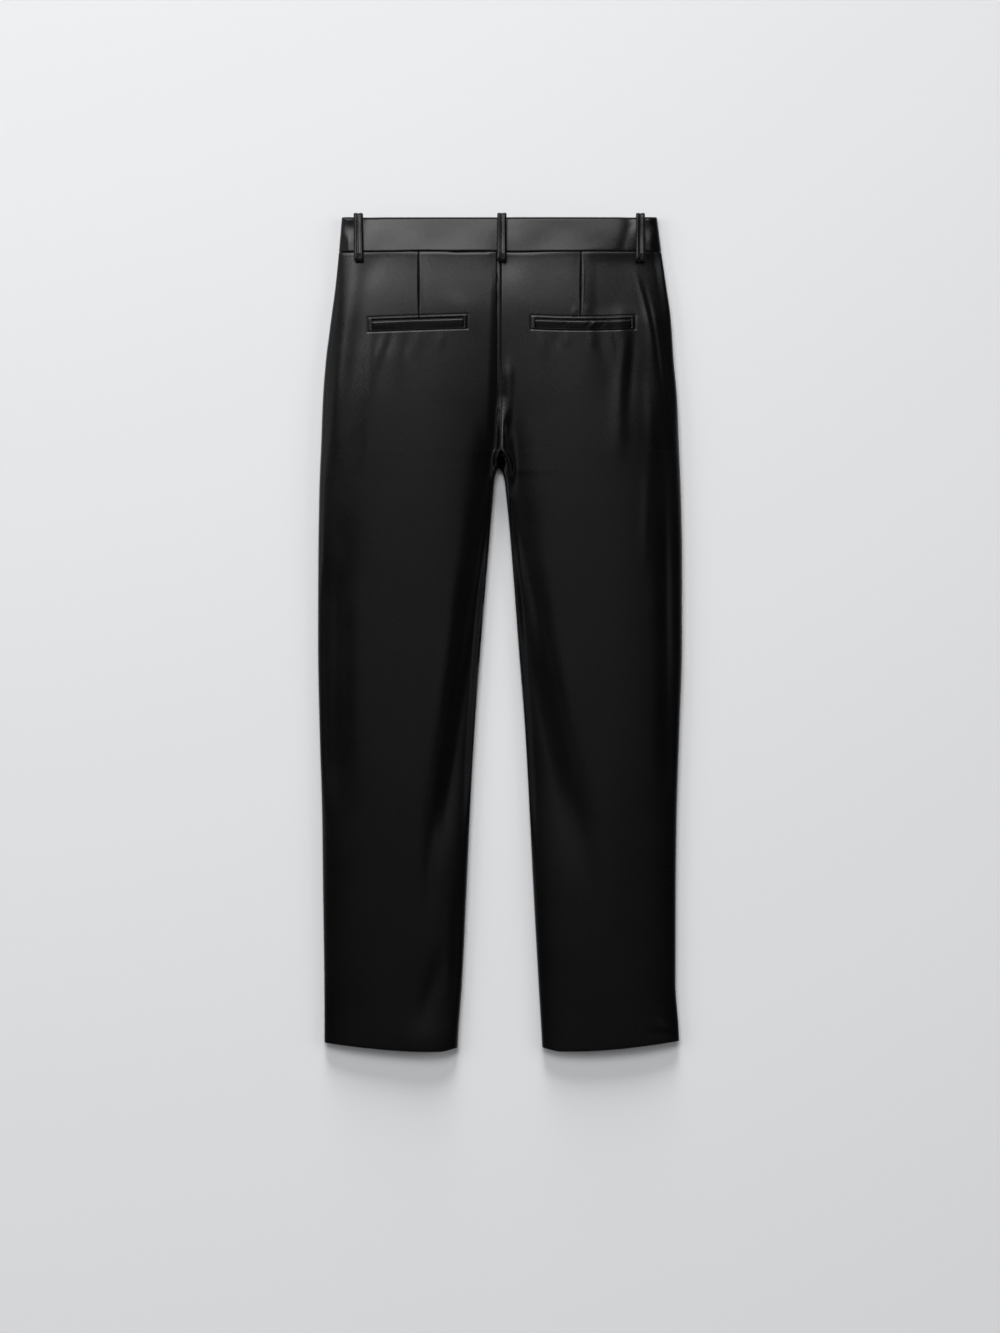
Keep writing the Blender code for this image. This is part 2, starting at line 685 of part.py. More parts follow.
def main():
    for old in list(bpy.data.objects):
        bpy.data.objects.remove(old)
    parts = bpy.data.collections.new("faux_leather_trousers")
    bpy.context.scene.collection.children.link(parts)

    leather = {}
    for name in ("panel", "band", "welt", "loop"):
        leather[name] = material(name + "_faux_leather", COLOUR, 0.4, 0.0)
    tape = material("zip_tape", COLOUR, 0.8, 0.0)
    steel = material("hook_steel", METAL_COLOUR, 0.35, 1.0)

    for side in (-1, 1):
        name = sideName(side)
        sheetObject("back_" + name, [backPanel(side)], PANEL_WALL, parts, leather["panel"])
        front = [frontSeat(side), frontThigh(side), frontLeg(side)]
        sheetObject("front_" + name, front, PANEL_WALL, parts, leather["panel"])
        sheetObject("fork_" + name, [forkTurn(side), forkStrip(side)], PANEL_WALL, parts, leather["panel"])
        sheetObject("waistband_front_" + name, [bandFront(side)], BAND_WALL, parts, leather["band"])
        sheetObject("pocket_welt_" + name, [pocketWelt(side)], WELT_WALL, parts, leather["welt"])
    sheetObject("waistband_back", [bandBack()], BAND_WALL, parts, leather["band"])
    for name, loop in BACK_LOOPS.items():
        sheetObject("belt_loop_" + name, [beltLoop(loop)], LOOP_WALL, parts, leather["loop"])
    for name, loop in FRONT_LOOPS.items():
        sheetObject("belt_loop_front_" + name, [frontLoop(loop)], LOOP_WALL, parts, leather["loop"])
    zipHeight = PANEL_WALL + SEAM_GAP + TRIM_WALL / 2
    sheetObject("fly_zip", [flatStrip(ZIP_WIDTH, ZIP_FROM, ZIP_TO, zipHeight)], TRIM_WALL, parts, tape)
    hookHeight = BAND_WALL + SEAM_GAP + TRIM_WALL / 2
    hook = flatStrip(HOOK_WIDTH, HOOK_FROM, HOOK_FROM + HOOK_DEPTH, hookHeight)
    sheetObject("waist_hook", [hook], TRIM_WALL, parts, steel)


main()
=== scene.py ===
import math

import bmesh
import bpy
import numpy as np
from mathutils import Matrix, Vector


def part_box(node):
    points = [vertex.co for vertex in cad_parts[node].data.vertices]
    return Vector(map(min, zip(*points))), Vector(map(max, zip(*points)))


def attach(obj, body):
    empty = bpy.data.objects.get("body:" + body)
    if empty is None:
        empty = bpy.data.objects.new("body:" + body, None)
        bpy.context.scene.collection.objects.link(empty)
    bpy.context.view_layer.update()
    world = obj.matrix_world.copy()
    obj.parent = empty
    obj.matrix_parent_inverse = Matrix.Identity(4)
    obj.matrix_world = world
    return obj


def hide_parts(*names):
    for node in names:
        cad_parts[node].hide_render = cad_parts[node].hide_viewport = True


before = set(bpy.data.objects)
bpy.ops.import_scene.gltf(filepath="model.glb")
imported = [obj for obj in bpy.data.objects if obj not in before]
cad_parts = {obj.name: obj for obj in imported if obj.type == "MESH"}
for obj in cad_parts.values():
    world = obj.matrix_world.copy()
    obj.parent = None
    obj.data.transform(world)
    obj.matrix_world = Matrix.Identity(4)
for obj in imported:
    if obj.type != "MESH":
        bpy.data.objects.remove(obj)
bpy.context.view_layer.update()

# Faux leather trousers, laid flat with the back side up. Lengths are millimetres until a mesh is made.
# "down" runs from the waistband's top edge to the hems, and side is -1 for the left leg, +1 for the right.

mm = 0.001
smoothAngle = math.radians(50)


def table(columns, rows):
    return np.array(rows, dtype=[(name, float) for name in columns.split()])


def between(start, end, value):
    return np.clip((value - start) / (end - start), 0.0, 1.0)


def smooth(start, end, value):
    share = between(start, end, value)
    return share * share * (3.0 - 2.0 * share)


def bell(distance, width):
    return np.exp(-((distance / width) ** 2))


def ridge(shape, place):
    # a soft ridge across a line: its height, middle and half width
    height, middle, width = shape
    return height * bell(place - middle, width)


def curveAt(rows, column, down):
    # a smooth curve through one column of a table, which never overshoots
    places, values = rows["down"], rows[column]
    steps = np.diff(values) / np.diff(places)
    slopes = np.empty(len(values))
    slopes[0], slopes[-1] = steps[0], steps[-1]
    turning = steps[:-1] * steps[1:]
    slopes[1:-1] = np.divide(2 * turning, steps[:-1] + steps[1:], out=np.zeros(len(turning)), where=turning > 0)
    down = np.clip(down, places[0], places[-1])
    i = np.clip(np.searchsorted(places, down, side="right") - 1, 0, len(places) - 2)
    width = places[i + 1] - places[i]
    t = (down - places[i]) / width
    rise = (2 * t**3 - 3 * t**2 + 1) * values[i] + (3 * t**2 - 2 * t**3) * values[i + 1]
    return rise + width * ((t**3 - 2 * t**2 + t) * slopes[i] + (t**3 - t**2) * slopes[i + 1])


# the garment's form, the same as its solids have

form = {
    "topY": 487.9, "bandDepth": 40.5, "centreX": 1.0, "crotchDown": 273.0, "forkDown": 297.0,
    "legLead": 6.0,
    "legSlow": 70.0,        # rows by which the legs part more slowly, this far from their inner edges
    "legSlowReach": (4, 40), "legSlowEarly": 1.3, "hemDown": 980.0, "hemBlend": 150.0,
    "edgeHeight": 5.6,      # where the leg's side is steepest
    "flange": 13.0,         # how far the back reaches under at the outer side
    "innerReach": 21.0, "peakShare": 0.48, "edgePower": 2.3,
    "quarterSteps": 24,     # samples round each edge, and over each half of the top
    "lobeSteps": 150, "panelWall": 1.2, "seamGap": 0.3,
    "pinch": 10.0,          # how far the back's seams stand up at the crotch
    "pinchRise": (210, 274), "pinchFall": (276, 316),
    "pinchWidths": (3.8, 7.0, 3.6),     # left, then right at its start and from its end on
    "pinchNarrows": (225, 262),
    "hill": 5.0,            # how far the right panel lifts beside the fork
    "hillRise": (246, 286), "hillFall": (300, 350), "hillReach": (4, 22),
    "seatFold": (0.8, 104.0, 36.0),     # height, row and half width
    "sections": table("down outerLeft innerLeft innerRight outerRight crown", [
        (0, -186.0, 1.0, 1.0, 184.2, 11.6),
        (40, -189.4, 1.0, 1.0, 189.2, 13.0),
        (80, -193.4, 1.0, 1.0, 195.0, 15.6),
        (120, -199.0, 1.0, 1.0, 200.4, 18.0),
        (170, -205.0, 1.0, 1.0, 204.0, 20.4),
        (215, -208.4, 1.0, 1.0, 208.0, 21.6),
        (273, -210.6, 1.0, 1.0, 210.2, 22.0),
        (285, -211.2, -2.9, 1.0, 210.8, 21.9),
        (297, -211.7, -4.6, 1.2, 211.3, 21.8),
        (305, -212.0, -6.4, 4.2, 211.6, 21.7),
        (332, -212.7, -8.6, 7.2, 212.5, 21.4),
        (400, -213.7, -14.2, 13.7, 213.8, 20.4),
        (500, -214.0, -22.5, 21.2, 213.7, 18.8),
        (600, -212.2, -29.8, 29.0, 210.6, 17.4),
        (700, -209.2, -35.4, 34.5, 207.4, 16.2),
        (800, -208.0, -39.9, 39.5, 206.2, 15.0),
        (900, -206.7, -44.8, 45.0, 206.0, 13.6),
        (960, -206.5, -49.0, 48.4, 209.6, 12.6),
        (985, -206.5, -50.0, 49.6, 210.6, 12.2),
    ]),
    "valleys": table("down share", [        # how deep the centre back lies below the crown
        (0, 0.02), (60, 0.05), (120, 0.10), (180, 0.24), (230, 0.42), (273, 0.52),
    ]),
    "inseams": table("down left right", [   # the back panel's inner edge, from the leg's inner edge
        (273, 0.3, 0.3), (280, 0.3, 4.4), (288, 0.3, 9.5), (297, 0.3, 11.3), (304, 0.3, 8.3),
        (332, -0.5, 6.9), (360, -3.0, 4.4), (400, -7.0, -0.5), (450, -11.5, -7.5),
        (520, -16.0, -14.5), (600, -19.0, -19.0), (985, -19.0, -19.0),
    ]),
    "folds": table("xFrom downFrom xTo downTo halfWidth height", [
        (-14, 285, -34, 450, 13, -1.8),
        (-34, 450, -70, 690, 16, -1.6),
        (16, 285, 34, 450, 13, -1.8),
        (34, 450, 88, 690, 17, -1.6),
        (-184, 390, -186, 640, 15, -1.2),
        (192, 250, 196, 640, 9, -1.0),
        (180, 150, 192, 250, 9, 1.1),
        (-170, 60, -190, 260, 11, 1.0),
        (142, 140, 139, 250, 9, 1.0),
        (10, 190, 8, 262, 6, 1.4),
    ]),
    "hems": {-1: (969.5, 980.1, 975.6), 1: (967.5, 979.8, 975.4)},  # outer corner, lowest, inner corner
    "hemLowShare": 0.80, "hemTurn": (0.86, 1.02),
    "hemCorners": 970.0,    # the row where the leg's width is taken for its hem
}

# Creases that run along the leg. Each curves through three places across, is highest at the peak's share
# of its length, and has a width of its own on each side.
creases = table("downFrom downTo xFrom xMid xTo peak leftWidth rightWidth height", [
    (52, 300, -176, -190, -198, 0.55, 5, 8, 0.6),       # left hip
    (56, 300, -160, -173, -186, 0.50, 7, 8, -1.0),
    (110, 330, -152, -156, -160, 0.40, 5, 5, 0.7),
    (128, 300, -144, -141, -144, 0.30, 6, 7, -0.5),
    (56, 176, 156, 173, 184, 0.50, 3, 4, 1.2),          # right hip
    (60, 220, 163, 182, 193, 0.45, 4, 4, -0.9),
    (76, 260, 171, 190, 199, 0.45, 3, 4, 1.3),
    (150, 300, 172, 176, 178, 0.50, 5, 7, 0.6),
    (136, 270, 149, 141, 137, 0.25, 5, 7, 0.7),
    (110, 270, 158, 153, 146, 0.40, 5, 6, -0.5),
    (300, 740, -32, -62, -98, 0.50, 10, 8, 0.7),        # above the fold down each leg's inner side
    (360, 760, 44, 78, 122, 0.50, 10, 14, 0.6),
    (360, 700, -172, -172, -176, 0.45, 6, 12, 0.6),
    (250, 430, 176, 172, 170, 0.50, 6, 6, 0.5),
    (280, 620, 193, 195, 196, 0.50, 6.5, 5, -0.9),
    (680, 850, -78, -82, -84, 0.45, 9, 7, -1.0),
    (740, 940, -48, -51, -55, 0.60, 6, 7, -0.7),
    (560, 900, 84, 96, 100, 0.40, 14, 16, -0.6),
    (560, 940, 132, 130, 128, 0.50, 20, 24, 0.5),
])

# Broad steps: across each curved line of one leg the cloth drops toward greater x (1) or smaller x (-1).
shelfGrows, shelfFades = (0, 0.2), (0.7, 1)     # shares of its length
shelves = table("leg toward downFrom downTo xFrom xMid xTo widthFrom widthTo depth", [
    (-1, 1, 280, 780, -1, -45, -84, 12, 24, 4.2),       # the fold down the left leg's inner side
    (1, -1, 305, 800, 8, 52, 111, 14, 36, 3.9),         # and down the right leg's
    (-1, -1, 390, 720, -186, -186, -188, 16, 20, 2.1),  # the left leg's outer side
    (-1, 1, 50, 340, -5, -8, -13, 12, 16, 1.7),         # beside the centre back seam
    (1, 1, 10, 260, 122, 122, 122, 60, 60, 2.0),        # right of the right dart
    (1, 1, 36, 130, 104, 106, 108, 18, 18, 1.0),
])

# Shorter dents and puckers: their middle, which way they run, how long and wide they are, and how high.
dents = table("x down turn length halfWidth height", [
    (-141, 158, 103, 20, 4.5, 0.6),     # under the left pocket
    (-131, 150, 100, 15, 3.5, -0.5),
    (-121, 166, 86, 30, 5.0, 0.6),
    (-110, 150, 92, 13, 4.0, -0.35),
    (-97, 148, 95, 14, 6.0, 0.3),
    (-70, 147, 93, 9, 4.0, 0.35),
    (50, 150, 80, 16, 5.0, 0.5),        # under the right pocket
    (66, 146, 92, 8, 3.4, -0.3),
    (78, 147, 88, 8, 3.2, 0.3),
    (106, 148, 90, 12, 4.0, 0.35),
    (118, 152, 80, 20, 4.5, -0.4),
    (130, 150, 78, 18, 4.5, 0.6),
    (88, 112, 100, 5, 2.6, 0.35),       # between the right dart and pocket
    (102, 110, 84, 6, 2.8, 0.30),
    (-84, 970, 176, 34, 26.0, 2.2),     # the left hem lifts beside the inner leg
    (-79, 902, 107, 34, 10.0, -1.3),
    (196, 958, 40, 12, 4.0, 1.0),       # the right hem's outer corner
    (188, 966, 20, 14, 4.0, -0.8),
    (6, 51, 88, 24, 18, -1.3),          # soft hollows beside the centre back and the left dart
    (-150, 60, 100, 20, 12, -0.5),
    (-46, 112, 60, 26, 12, 0.5),
])

centreSeam = {
    "leftSide": (-3.2, -2.4), "rightSide": (0.2, 1.0), "height": 0.35, "groove": (0.45, -3.4, 0.7),
    "fades": (150, 215),
}
waistSeam = {
    "wave": (0.45, 31.0, 0.6),      # height, length and start
    "ripple": (0.3, 12.3), "rippleReach": (150, 20),
    "dip": (0.9, 0.0, 1.6),         # deepest in one stretch, with a lip below it
    "dipFrom": (-66, -52), "dipTo": (-18, -9), "dipLength": 17.0, "lip": (0.07, 3.2, 1.6),
}
dartMake = {
    "soft": 3.0,
    "slim": 0.55,           # its ends' share of its width
    "hollow": (0.7, 0.0, 9.0),
    "press": (0.22, 2.6, 1.6),      # the allowance shows through on the right
}
darts = table("x from to lean depth halfWidth", [
    (-95.7, 41.0, 119.0, 0.8, 1.3, 1.05),
    (95.2, 41.0, 117.5, -0.8, 1.3, 1.05),
])

pockets = {
    -1: {"xFrom": -150.5, "xTo": -42.5, "topOuter": 123.6, "topInner": 120.0, "bow": 0.0, "depth": 10.4},
    1: {"xFrom": 40.5, "xTo": 154.0, "topOuter": 121.0, "topInner": 121.4, "bow": 1.6, "depth": 9.6},
    "slot": 2.2,            # the open line above the welt
    "sink": 2.3,            # how far the window lies below the panel
    "sinkSoft": 0.7,
    "frameAbove": 2.8,      # from the window to the line stitched round it
    "frameBelow": 1.9, "frameEnds": 4.5, "puff": (0.35, 1.1, 1.0), "pull": (0.5, 0.0, 0.75),
}


backLoops = [
    {"name": "left", "x": -166.0, "width": 11.0, "lean": 0.9},
    {"name": "centre", "x": 1.9, "width": 11.0, "lean": -0.3},
    {"name": "right", "x": 164.4, "width": 10.4, "lean": -0.4},
]


def sideOf(side, left, right):
    return left if side < 0 else right


def outerEdge(side, down):
    return curveAt(form["sections"], sideOf(side, "outerLeft", "outerRight"), down)


def innerEdge(side, down):
    edge = curveAt(form["sections"], sideOf(side, "innerLeft", "innerRight"), down)
    return np.where(down <= form["crotchDown"], form["centreX"], edge)


def legShare(down, fromEdge=0.0):
    # 0 in the seat and 1 below the fork, changing more slowly away from the leg's inner edge
    slow = form["legSlow"] * smooth(*form["legSlowReach"], fromEdge)
    start = form["crotchDown"] - form["legLead"] - form["legSlowEarly"] * slow
    return smooth(start, form["forkDown"] + slow, down)


def foldHeight(x, down):
    # the largest folds, which the solids have too
    total = 0.0
    for fold in form["folds"]:
        runX = fold["xTo"] - fold["xFrom"]
        runDown = fold["downTo"] - fold["downFrom"]
        length = math.hypot(runX, runDown)
        along = ((x - fold["xFrom"]) * runX + (down - fold["downFrom"]) * runDown) / length
        across = ((x - fold["xFrom"]) * runDown - (down - fold["downFrom"]) * runX) / length
        beyond = np.maximum(np.maximum(-along, along - length), 0.0)
        near = (across / fold["halfWidth"]) ** 2 + (beyond / (3 * fold["halfWidth"])) ** 2
        total = total + fold["height"] * np.exp(-near)
    return total


def lineAt(row, down):
    # how far along a curved line a row lies, and where the line is there
    t = between(row["downFrom"], row["downTo"], down)
    bow = row["xMid"] - (row["xFrom"] + row["xTo"]) / 2
    return t, row["xFrom"] + (row["xTo"] - row["xFrom"]) * t + 4 * bow * t * (1 - t)


def creaseHeight(x, down):
    # creases, broad steps and dents, over a soft fold across the seat just above the pockets
    total = ridge(form["seatFold"], down)
    for crease in creases:
        t, middle = lineAt(crease, down)
        swell = np.sin(math.pi * t ** (math.log(0.5) / math.log(crease["peak"]))) ** 2
        width = np.where(x < middle, crease["leftWidth"], crease["rightWidth"])
        total = total + crease["height"] * swell * bell(x - middle, width)
    for shelf in shelves:
        t, middle = lineAt(shelf, down)
        width = shelf["widthFrom"] + (shelf["widthTo"] - shelf["widthFrom"]) * t
        drop = smooth(-0.5, 0.5, (x - middle) * shelf["toward"] / width)
        drop = drop * smooth(*shelfGrows, t) * (1 - smooth(*shelfFades, t))
        total = total - shelf["depth"] * drop * ((x < form["centreX"]) == (shelf["leg"] < 0))
    for dent in dents:
        turn = math.radians(dent["turn"])
        along = (x - dent["x"]) * math.cos(turn) + (down - dent["down"]) * math.sin(turn)
        across = -(x - dent["x"]) * math.sin(turn) + (down - dent["down"]) * math.cos(turn)
        total = total + dent["height"] * bell(along, dent["length"]) * bell(across, dent["halfWidth"])
    return total


def topHeight(side, down, share):
    # height of the back's middle layer, at a share of the way from the inner to the outer edge
    rise = curveAt(form["sections"], "crown", down) - form["edgeHeight"]
    peak, power = form["peakShare"], form["edgePower"]
    outward = between(peak, 1, share)
    inward = np.clip((peak - share) / peak, 0.0, 1.0)
    outerLobe = (1 - outward**power) ** (1 / power)
    legLobe = (1 - inward**power) ** (1 / power)
    seatLobe = 1 - curveAt(form["valleys"], "share", down) * inward**2
    width = outerEdge(side, down) - innerEdge(side, down)
    innerLobe = seatLobe + (legLobe - seatLobe) * legShare(down, np.abs(width) * share)
    lobe = np.where(share > peak, outerLobe, innerLobe)
    x = innerEdge(side, down) + width * share
    relief = (foldHeight(x, down) + creaseHeight(x, down)) * np.minimum(2 * lobe, 1.0) * smooth(0, 0.5, lobe)
    return form["edgeHeight"] + rise * lobe + relief


def centreStrip(x, down):
    # the seam allowance shows as a narrow raised strip left of the centre back seam
    seam = centreSeam
    strip = smooth(*seam["leftSide"], x) * (1 - smooth(*seam["rightSide"], x))
    return (seam["height"] * strip - ridge(seam["groove"], x)) * (1 - smooth(*seam["fades"], down))


def seamWave(x):
    # how the waist seam strays from a straight line
    height, length, start = waistSeam["wave"]
    ripple, rippleLength = waistSeam["ripple"]
    ripple = ripple * np.sin(x / rippleLength) * smooth(*waistSeam["rippleReach"], np.abs(x))
    return height * np.sin(x / length + start) + ripple


def seamDip(x, down):
    # the panel sinks beside the waist seam, most just left of the centre loop, and rises to a lip below
    seam = waistSeam
    deep = 0.8 * smooth(*seam["dipFrom"], x) * (1 - smooth(*seam["dipTo"], x))
    uneven = 0.1 + deep + 0.2 * np.sin(x / seam["dipLength"])
    past = down - form["bandDepth"] - 1.0
    return ridge(seam["lip"], past) - ridge(seam["dip"], past) * uneven


def pocketTop(side, x):
    pocket = pockets[side]
    outer, inner = sideOf(side, pocket["xFrom"], pocket["xTo"]), sideOf(side, pocket["xTo"], pocket["xFrom"])
    share = between(outer, inner, x)
    fall = pocket["topInner"] - pocket["topOuter"]
    return pocket["topOuter"] + fall * share + pocket["bow"] * 4 * share * (1 - share)


def stepDown(value, soft):
    # 1 inside (value below zero), 0 outside, over a short soft distance
    return 1 - smooth(-soft / 2, soft / 2, value)


def dartHeight(x, down):
    make, total = dartMake, 0.0
    for dart in darts:
        t = between(dart["from"], dart["to"], down)
        across = x - dart["x"] - dart["lean"] * t
        swell = make["slim"] + (1 - make["slim"]) * np.sin(math.pi * t)
        groove = bell(across, dart["halfWidth"] * swell) * dart["depth"] * swell
        hollow = ridge(make["hollow"], across) * (1 - t)
        press = ridge(make["press"], across) * np.sin(math.pi * t)
        total = total - (groove + hollow - press) * stepDown(down - dart["to"], make["soft"])
    return total


def beyondBox(x, past, pocket, above, below, ends):
    # how far outside a box round the pocket a place lies, below zero inside it
    up, low = -pockets["slot"] - above - past, past - pocket["depth"] - below
    return np.maximum(np.maximum(up, low), np.maximum(pocket["xFrom"] - ends - x, x - pocket["xTo"] - ends))


def pocketHeight(side, x, down):
    # the window that the welt fills, a puffed frame round it and a pulled line under the stitching
    pocket, make = pockets[side], pockets
    past = down - pocketTop(side, x)
    outside = beyondBox(x, past, pocket, 0, 0, 0)
    fromLine = beyondBox(x, past, pocket, make["frameAbove"], make["frameBelow"], make["frameEnds"])
    puff = np.where(outside > 0, ridge(make["puff"], outside), 0.0)
    return puff - ridge(make["pull"], fromLine) - make["sink"] * stepDown(outside, make["sinkSoft"])


# sheets of cloth: grids of places with their normals and flat places, then a wall


def crossSection(side, downs, wall):
    # the middle layer across one leg at each row, with the length along it: arrays of rows by samples
    quarter, top = form["quarterSteps"], form["lobeSteps"]
    downs = downs[:, None]
    legs = (downs > form["crotchDown"]).astype(float)
    inner = innerEdge(side, downs) + side * wall / 2 * legShare(downs)
    outer = outerEdge(side, downs) - side * wall / 2
    radius = form["edgeHeight"] - wall / 2
    turn = (math.pi / 2 * np.arange(quarter) / quarter)[None, :]
    inward = np.concatenate(([[radius + form["innerReach"]]], radius * (1 - np.sin(turn))), axis=1)
    underX = inner + side * legs * inward
    underZ = np.concatenate(([[wall / 2]], form["edgeHeight"] - radius * np.cos(turn)), axis=1) + 0 * inner
    swing = (math.pi / 2 * np.linspace(-1, 1, 2 * top + 1))[None, :]
    reach = np.abs(np.sin(swing)) ** (2 / form["edgePower"])
    peak = form["peakShare"]
    share = np.where(swing < 0, peak * (1 - reach), peak + (1 - peak) * reach)
    topX = inner + (outer - inner) * share
    topZ = topHeight(side, downs + 0 * share, share + 0 * downs)
    underZ = np.where(legs > 0, underZ, topZ[:, :1])
    turn = (math.pi / 2 * np.arange(1, quarter + 1) / quarter)[None, :]
    overX = outer - side * np.concatenate((radius * (1 - np.cos(turn)), [[radius + form["flange"]]]), axis=1)
    overZ = np.concatenate((form["edgeHeight"] - radius * np.sin(turn), [[wall / 2]]), axis=1) + 0 * inner
    x = np.concatenate((underX, topX, overX), axis=1)
    z = np.concatenate((underZ, topZ, overZ), axis=1)
    steps = np.hypot(np.diff(x, axis=1), np.diff(z, axis=1))
    lengths = np.concatenate((np.zeros((len(x), 1)), np.cumsum(steps, axis=1)), axis=1)
    return {"x": x, "z": z, "lengths": lengths, "inner": lengths[:, quarter + 1], "outer": lengths[:, -quarter - 2],
            "topX": topX, "topLengths": lengths[:, quarter + 1:-quarter - 1]}


def hemLine(side, x):
    outerCorner, lowest, innerCorner = form["hems"][side]
    row = np.array(form["hemCorners"])
    inner, outer = innerEdge(side, row), outerEdge(side, row)
    share = between(outer, inner, x)
    drop = np.sin(math.pi / 2 * np.minimum(share / form["hemLowShare"], 1.0))
    return outerCorner + (lowest - outerCorner) * drop - (lowest - innerCorner) * smooth(*form["hemTurn"], share)


def stops(places, counts):
    # places spread evenly between each pair of stops
    line = [np.linspace(a, b, n, endpoint=False) for a, b, n in zip(places, places[1:], counts)]
    return np.append(np.concatenate(line), places[-1])


def readAlong(lengths, values, wanted):
    return np.array([np.interp(w, l, v) for w, l, v in zip(wanted, lengths, values)])


def columnsAt(section, lines, counts):
    # columns spread between the lines that cross each row: their lengths, and where they lie
    lengths = np.array([stops(row, counts) for row in np.array(lines).T])
    x, z = [readAlong(section["lengths"], section[axis], lengths) for axis in ("x", "z")]
    return lengths, x, z


def withNormals(points, facing):
    across = np.gradient(points, axis=1)
    along = np.gradient(points, axis=0)
    normals = np.cross(along, across) * facing
    normals /= np.linalg.norm(normals, axis=2, keepdims=True) + 1e-12
    return normals


def turned(array, edge):
    if edge.endswith("Column"):
        array = array.transpose(1, 0, 2)
    return array[::-1] if edge.startswith("first") else array


def turnedBack(array, edge):
    if edge.startswith("first"):
        array = array[::-1]
    return array.transpose(1, 0, 2) if edge.endswith("Column") else array


def turnUnder(sheet, edge, radius, angle, steps, tail):
    # carries one edge of a sheet round a bend, away from its outer face, and a little farther
    points, normals, flat = [turned(sheet[key], edge) for key in ("points", "normals", "flat")]
    last, normal, place = points[-1], normals[-1], flat[-1]
    ahead = last - points[-2]
    ahead -= normal * np.sum(ahead * normal, axis=1, keepdims=True)
    ahead /= np.linalg.norm(ahead, axis=1, keepdims=True)
    onward = place - flat[-2]
    onward /= np.linalg.norm(onward, axis=1, keepdims=True) + 1e-12
    whole = np.maximum(np.radians(np.broadcast_to(angle, len(last)))[:, None], 1e-3)
    arc = radius * math.pi / 2
    step = np.arange(1, steps + 1)[:, None, None]
    turn = whole * step / steps
    added = [last + (ahead * np.sin(turn) - normal * (1 - np.cos(turn))) * arc / whole,
             normal * np.cos(turn) + ahead * np.sin(turn),
             place + onward * arc * step / steps]
    if tail:
        heading = ahead * np.cos(whole) - normal * np.sin(whole)
        beyond = [added[0][-1] + heading * tail * np.sin(whole), added[1][-1], added[2][-1] + onward * tail]
        added = [np.concatenate((rows, row[None])) for rows, row in zip(added, beyond)]
    joined = [turnedBack(np.concatenate(pair), edge) for pair in zip((points, normals, flat), added)]
    return dict(zip(("points", "normals", "flat"), joined))


def foldBack(sheet, edge, radius, steps, rows):
    # folds one edge of a sheet under itself, as far as this many of its own rows
    points, normals, flat = [turned(sheet[key], edge) for key in ("points", "normals", "flat")]
    half = turnUnder(sheet, edge, radius * 2, 180, steps, 0)
    folded = {key: turned(value, edge) for key, value in half.items()}
    onward = flat[-1] - flat[-2]
    onward /= np.linalg.norm(onward, axis=1, keepdims=True) + 1e-12
    under = points[-2:-rows - 2:-1] - normals[-2:-rows - 2:-1] * 2 * radius
    back = np.linalg.norm(flat[-2:-rows - 2:-1] - flat[-1], axis=2)[:, :, None]
    joined = {
        "points": np.concatenate((folded["points"], under)),
        "normals": np.concatenate((folded["normals"], -normals[-2:-rows - 2:-1])),
        "flat": np.concatenate((folded["flat"], folded["flat"][-1] + onward * back)),
    }
    return {key: turnedBack(value, edge) for key, value in joined.items()}


def deselectAll():
    bpy.ops.object.select_all(action="DESELECT")


def applyAll(piece):
    deselectAll()
    piece.select_set(True)
    bpy.context.view_layer.objects.active = piece
    for modifier in list(piece.modifiers):
        bpy.ops.object.modifier_apply(modifier=modifier.name)


def clothPiece(name, sheet, wall, finish):
    # a primitive grid with one vertex for each place, moved there, then given its wall
    rows, columns = sheet["points"].shape[:2]
    deselectAll()
    bpy.ops.mesh.primitive_grid_add(x_subdivisions=columns - 1, y_subdivisions=rows - 1, size=1)
    piece = bpy.context.object
    piece.name = name
    mesh = piece.data
    mesh.name = name
    mesh.vertices.foreach_set("co", (sheet["points"].reshape(-1, 3) * mm).ravel())
    corners = np.empty(len(mesh.loops), dtype=np.int64)
    mesh.loops.foreach_get("vertex_index", corners)
    mesh.uv_layers.active.data.foreach_set("uv", (sheet["flat"].reshape(-1, 2)[corners] * mm).ravel())
    mesh.update()
    face = mesh.polygons[len(mesh.polygons) // 2]
    wanted = sheet["normals"].reshape(-1, 3)[face.vertices[0]]
    if np.dot(np.array(face.normal), wanted) < 0:
        mesh.flip_normals()
    solidify = piece.modifiers.new("wall", "SOLIDIFY")
    solidify.thickness = wall * mm
    solidify.offset = 0.0
    solidify.use_even_offset = True
    applyAll(piece)
    bpy.ops.object.shade_smooth_by_angle(angle=smoothAngle)
    piece.data.materials.clear()
    piece.data.materials.append(finish)
    return piece


def declare(piece, nodes, restsOn=()):
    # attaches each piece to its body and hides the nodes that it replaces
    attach(piece, "root")
    if nodes:
        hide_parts(*nodes)


# materials


class Signal:
    # a value on its way between nodes: arithmetic on it adds Math nodes
    def __init__(self, nodes, socket):
        self.nodes = nodes
        self.socket = socket

    def combine(self, operation, first, second):
        return self.nodes.add("ShaderNodeMath", {"operation": operation}, {0: first, 1: second})

    def __add__(self, other):
        return self.combine("ADD", self, other)

    def __sub__(self, other):
        return self.combine("SUBTRACT", self, other)

    def __mul__(self, other):
        return self.combine("MULTIPLY", self, other)

    def __radd__(self, other):
        return self.combine("ADD", other, self)

    def __rsub__(self, other):
        return self.combine("SUBTRACT", other, self)

    def __rmul__(self, other):
        return self.combine("MULTIPLY", other, self)


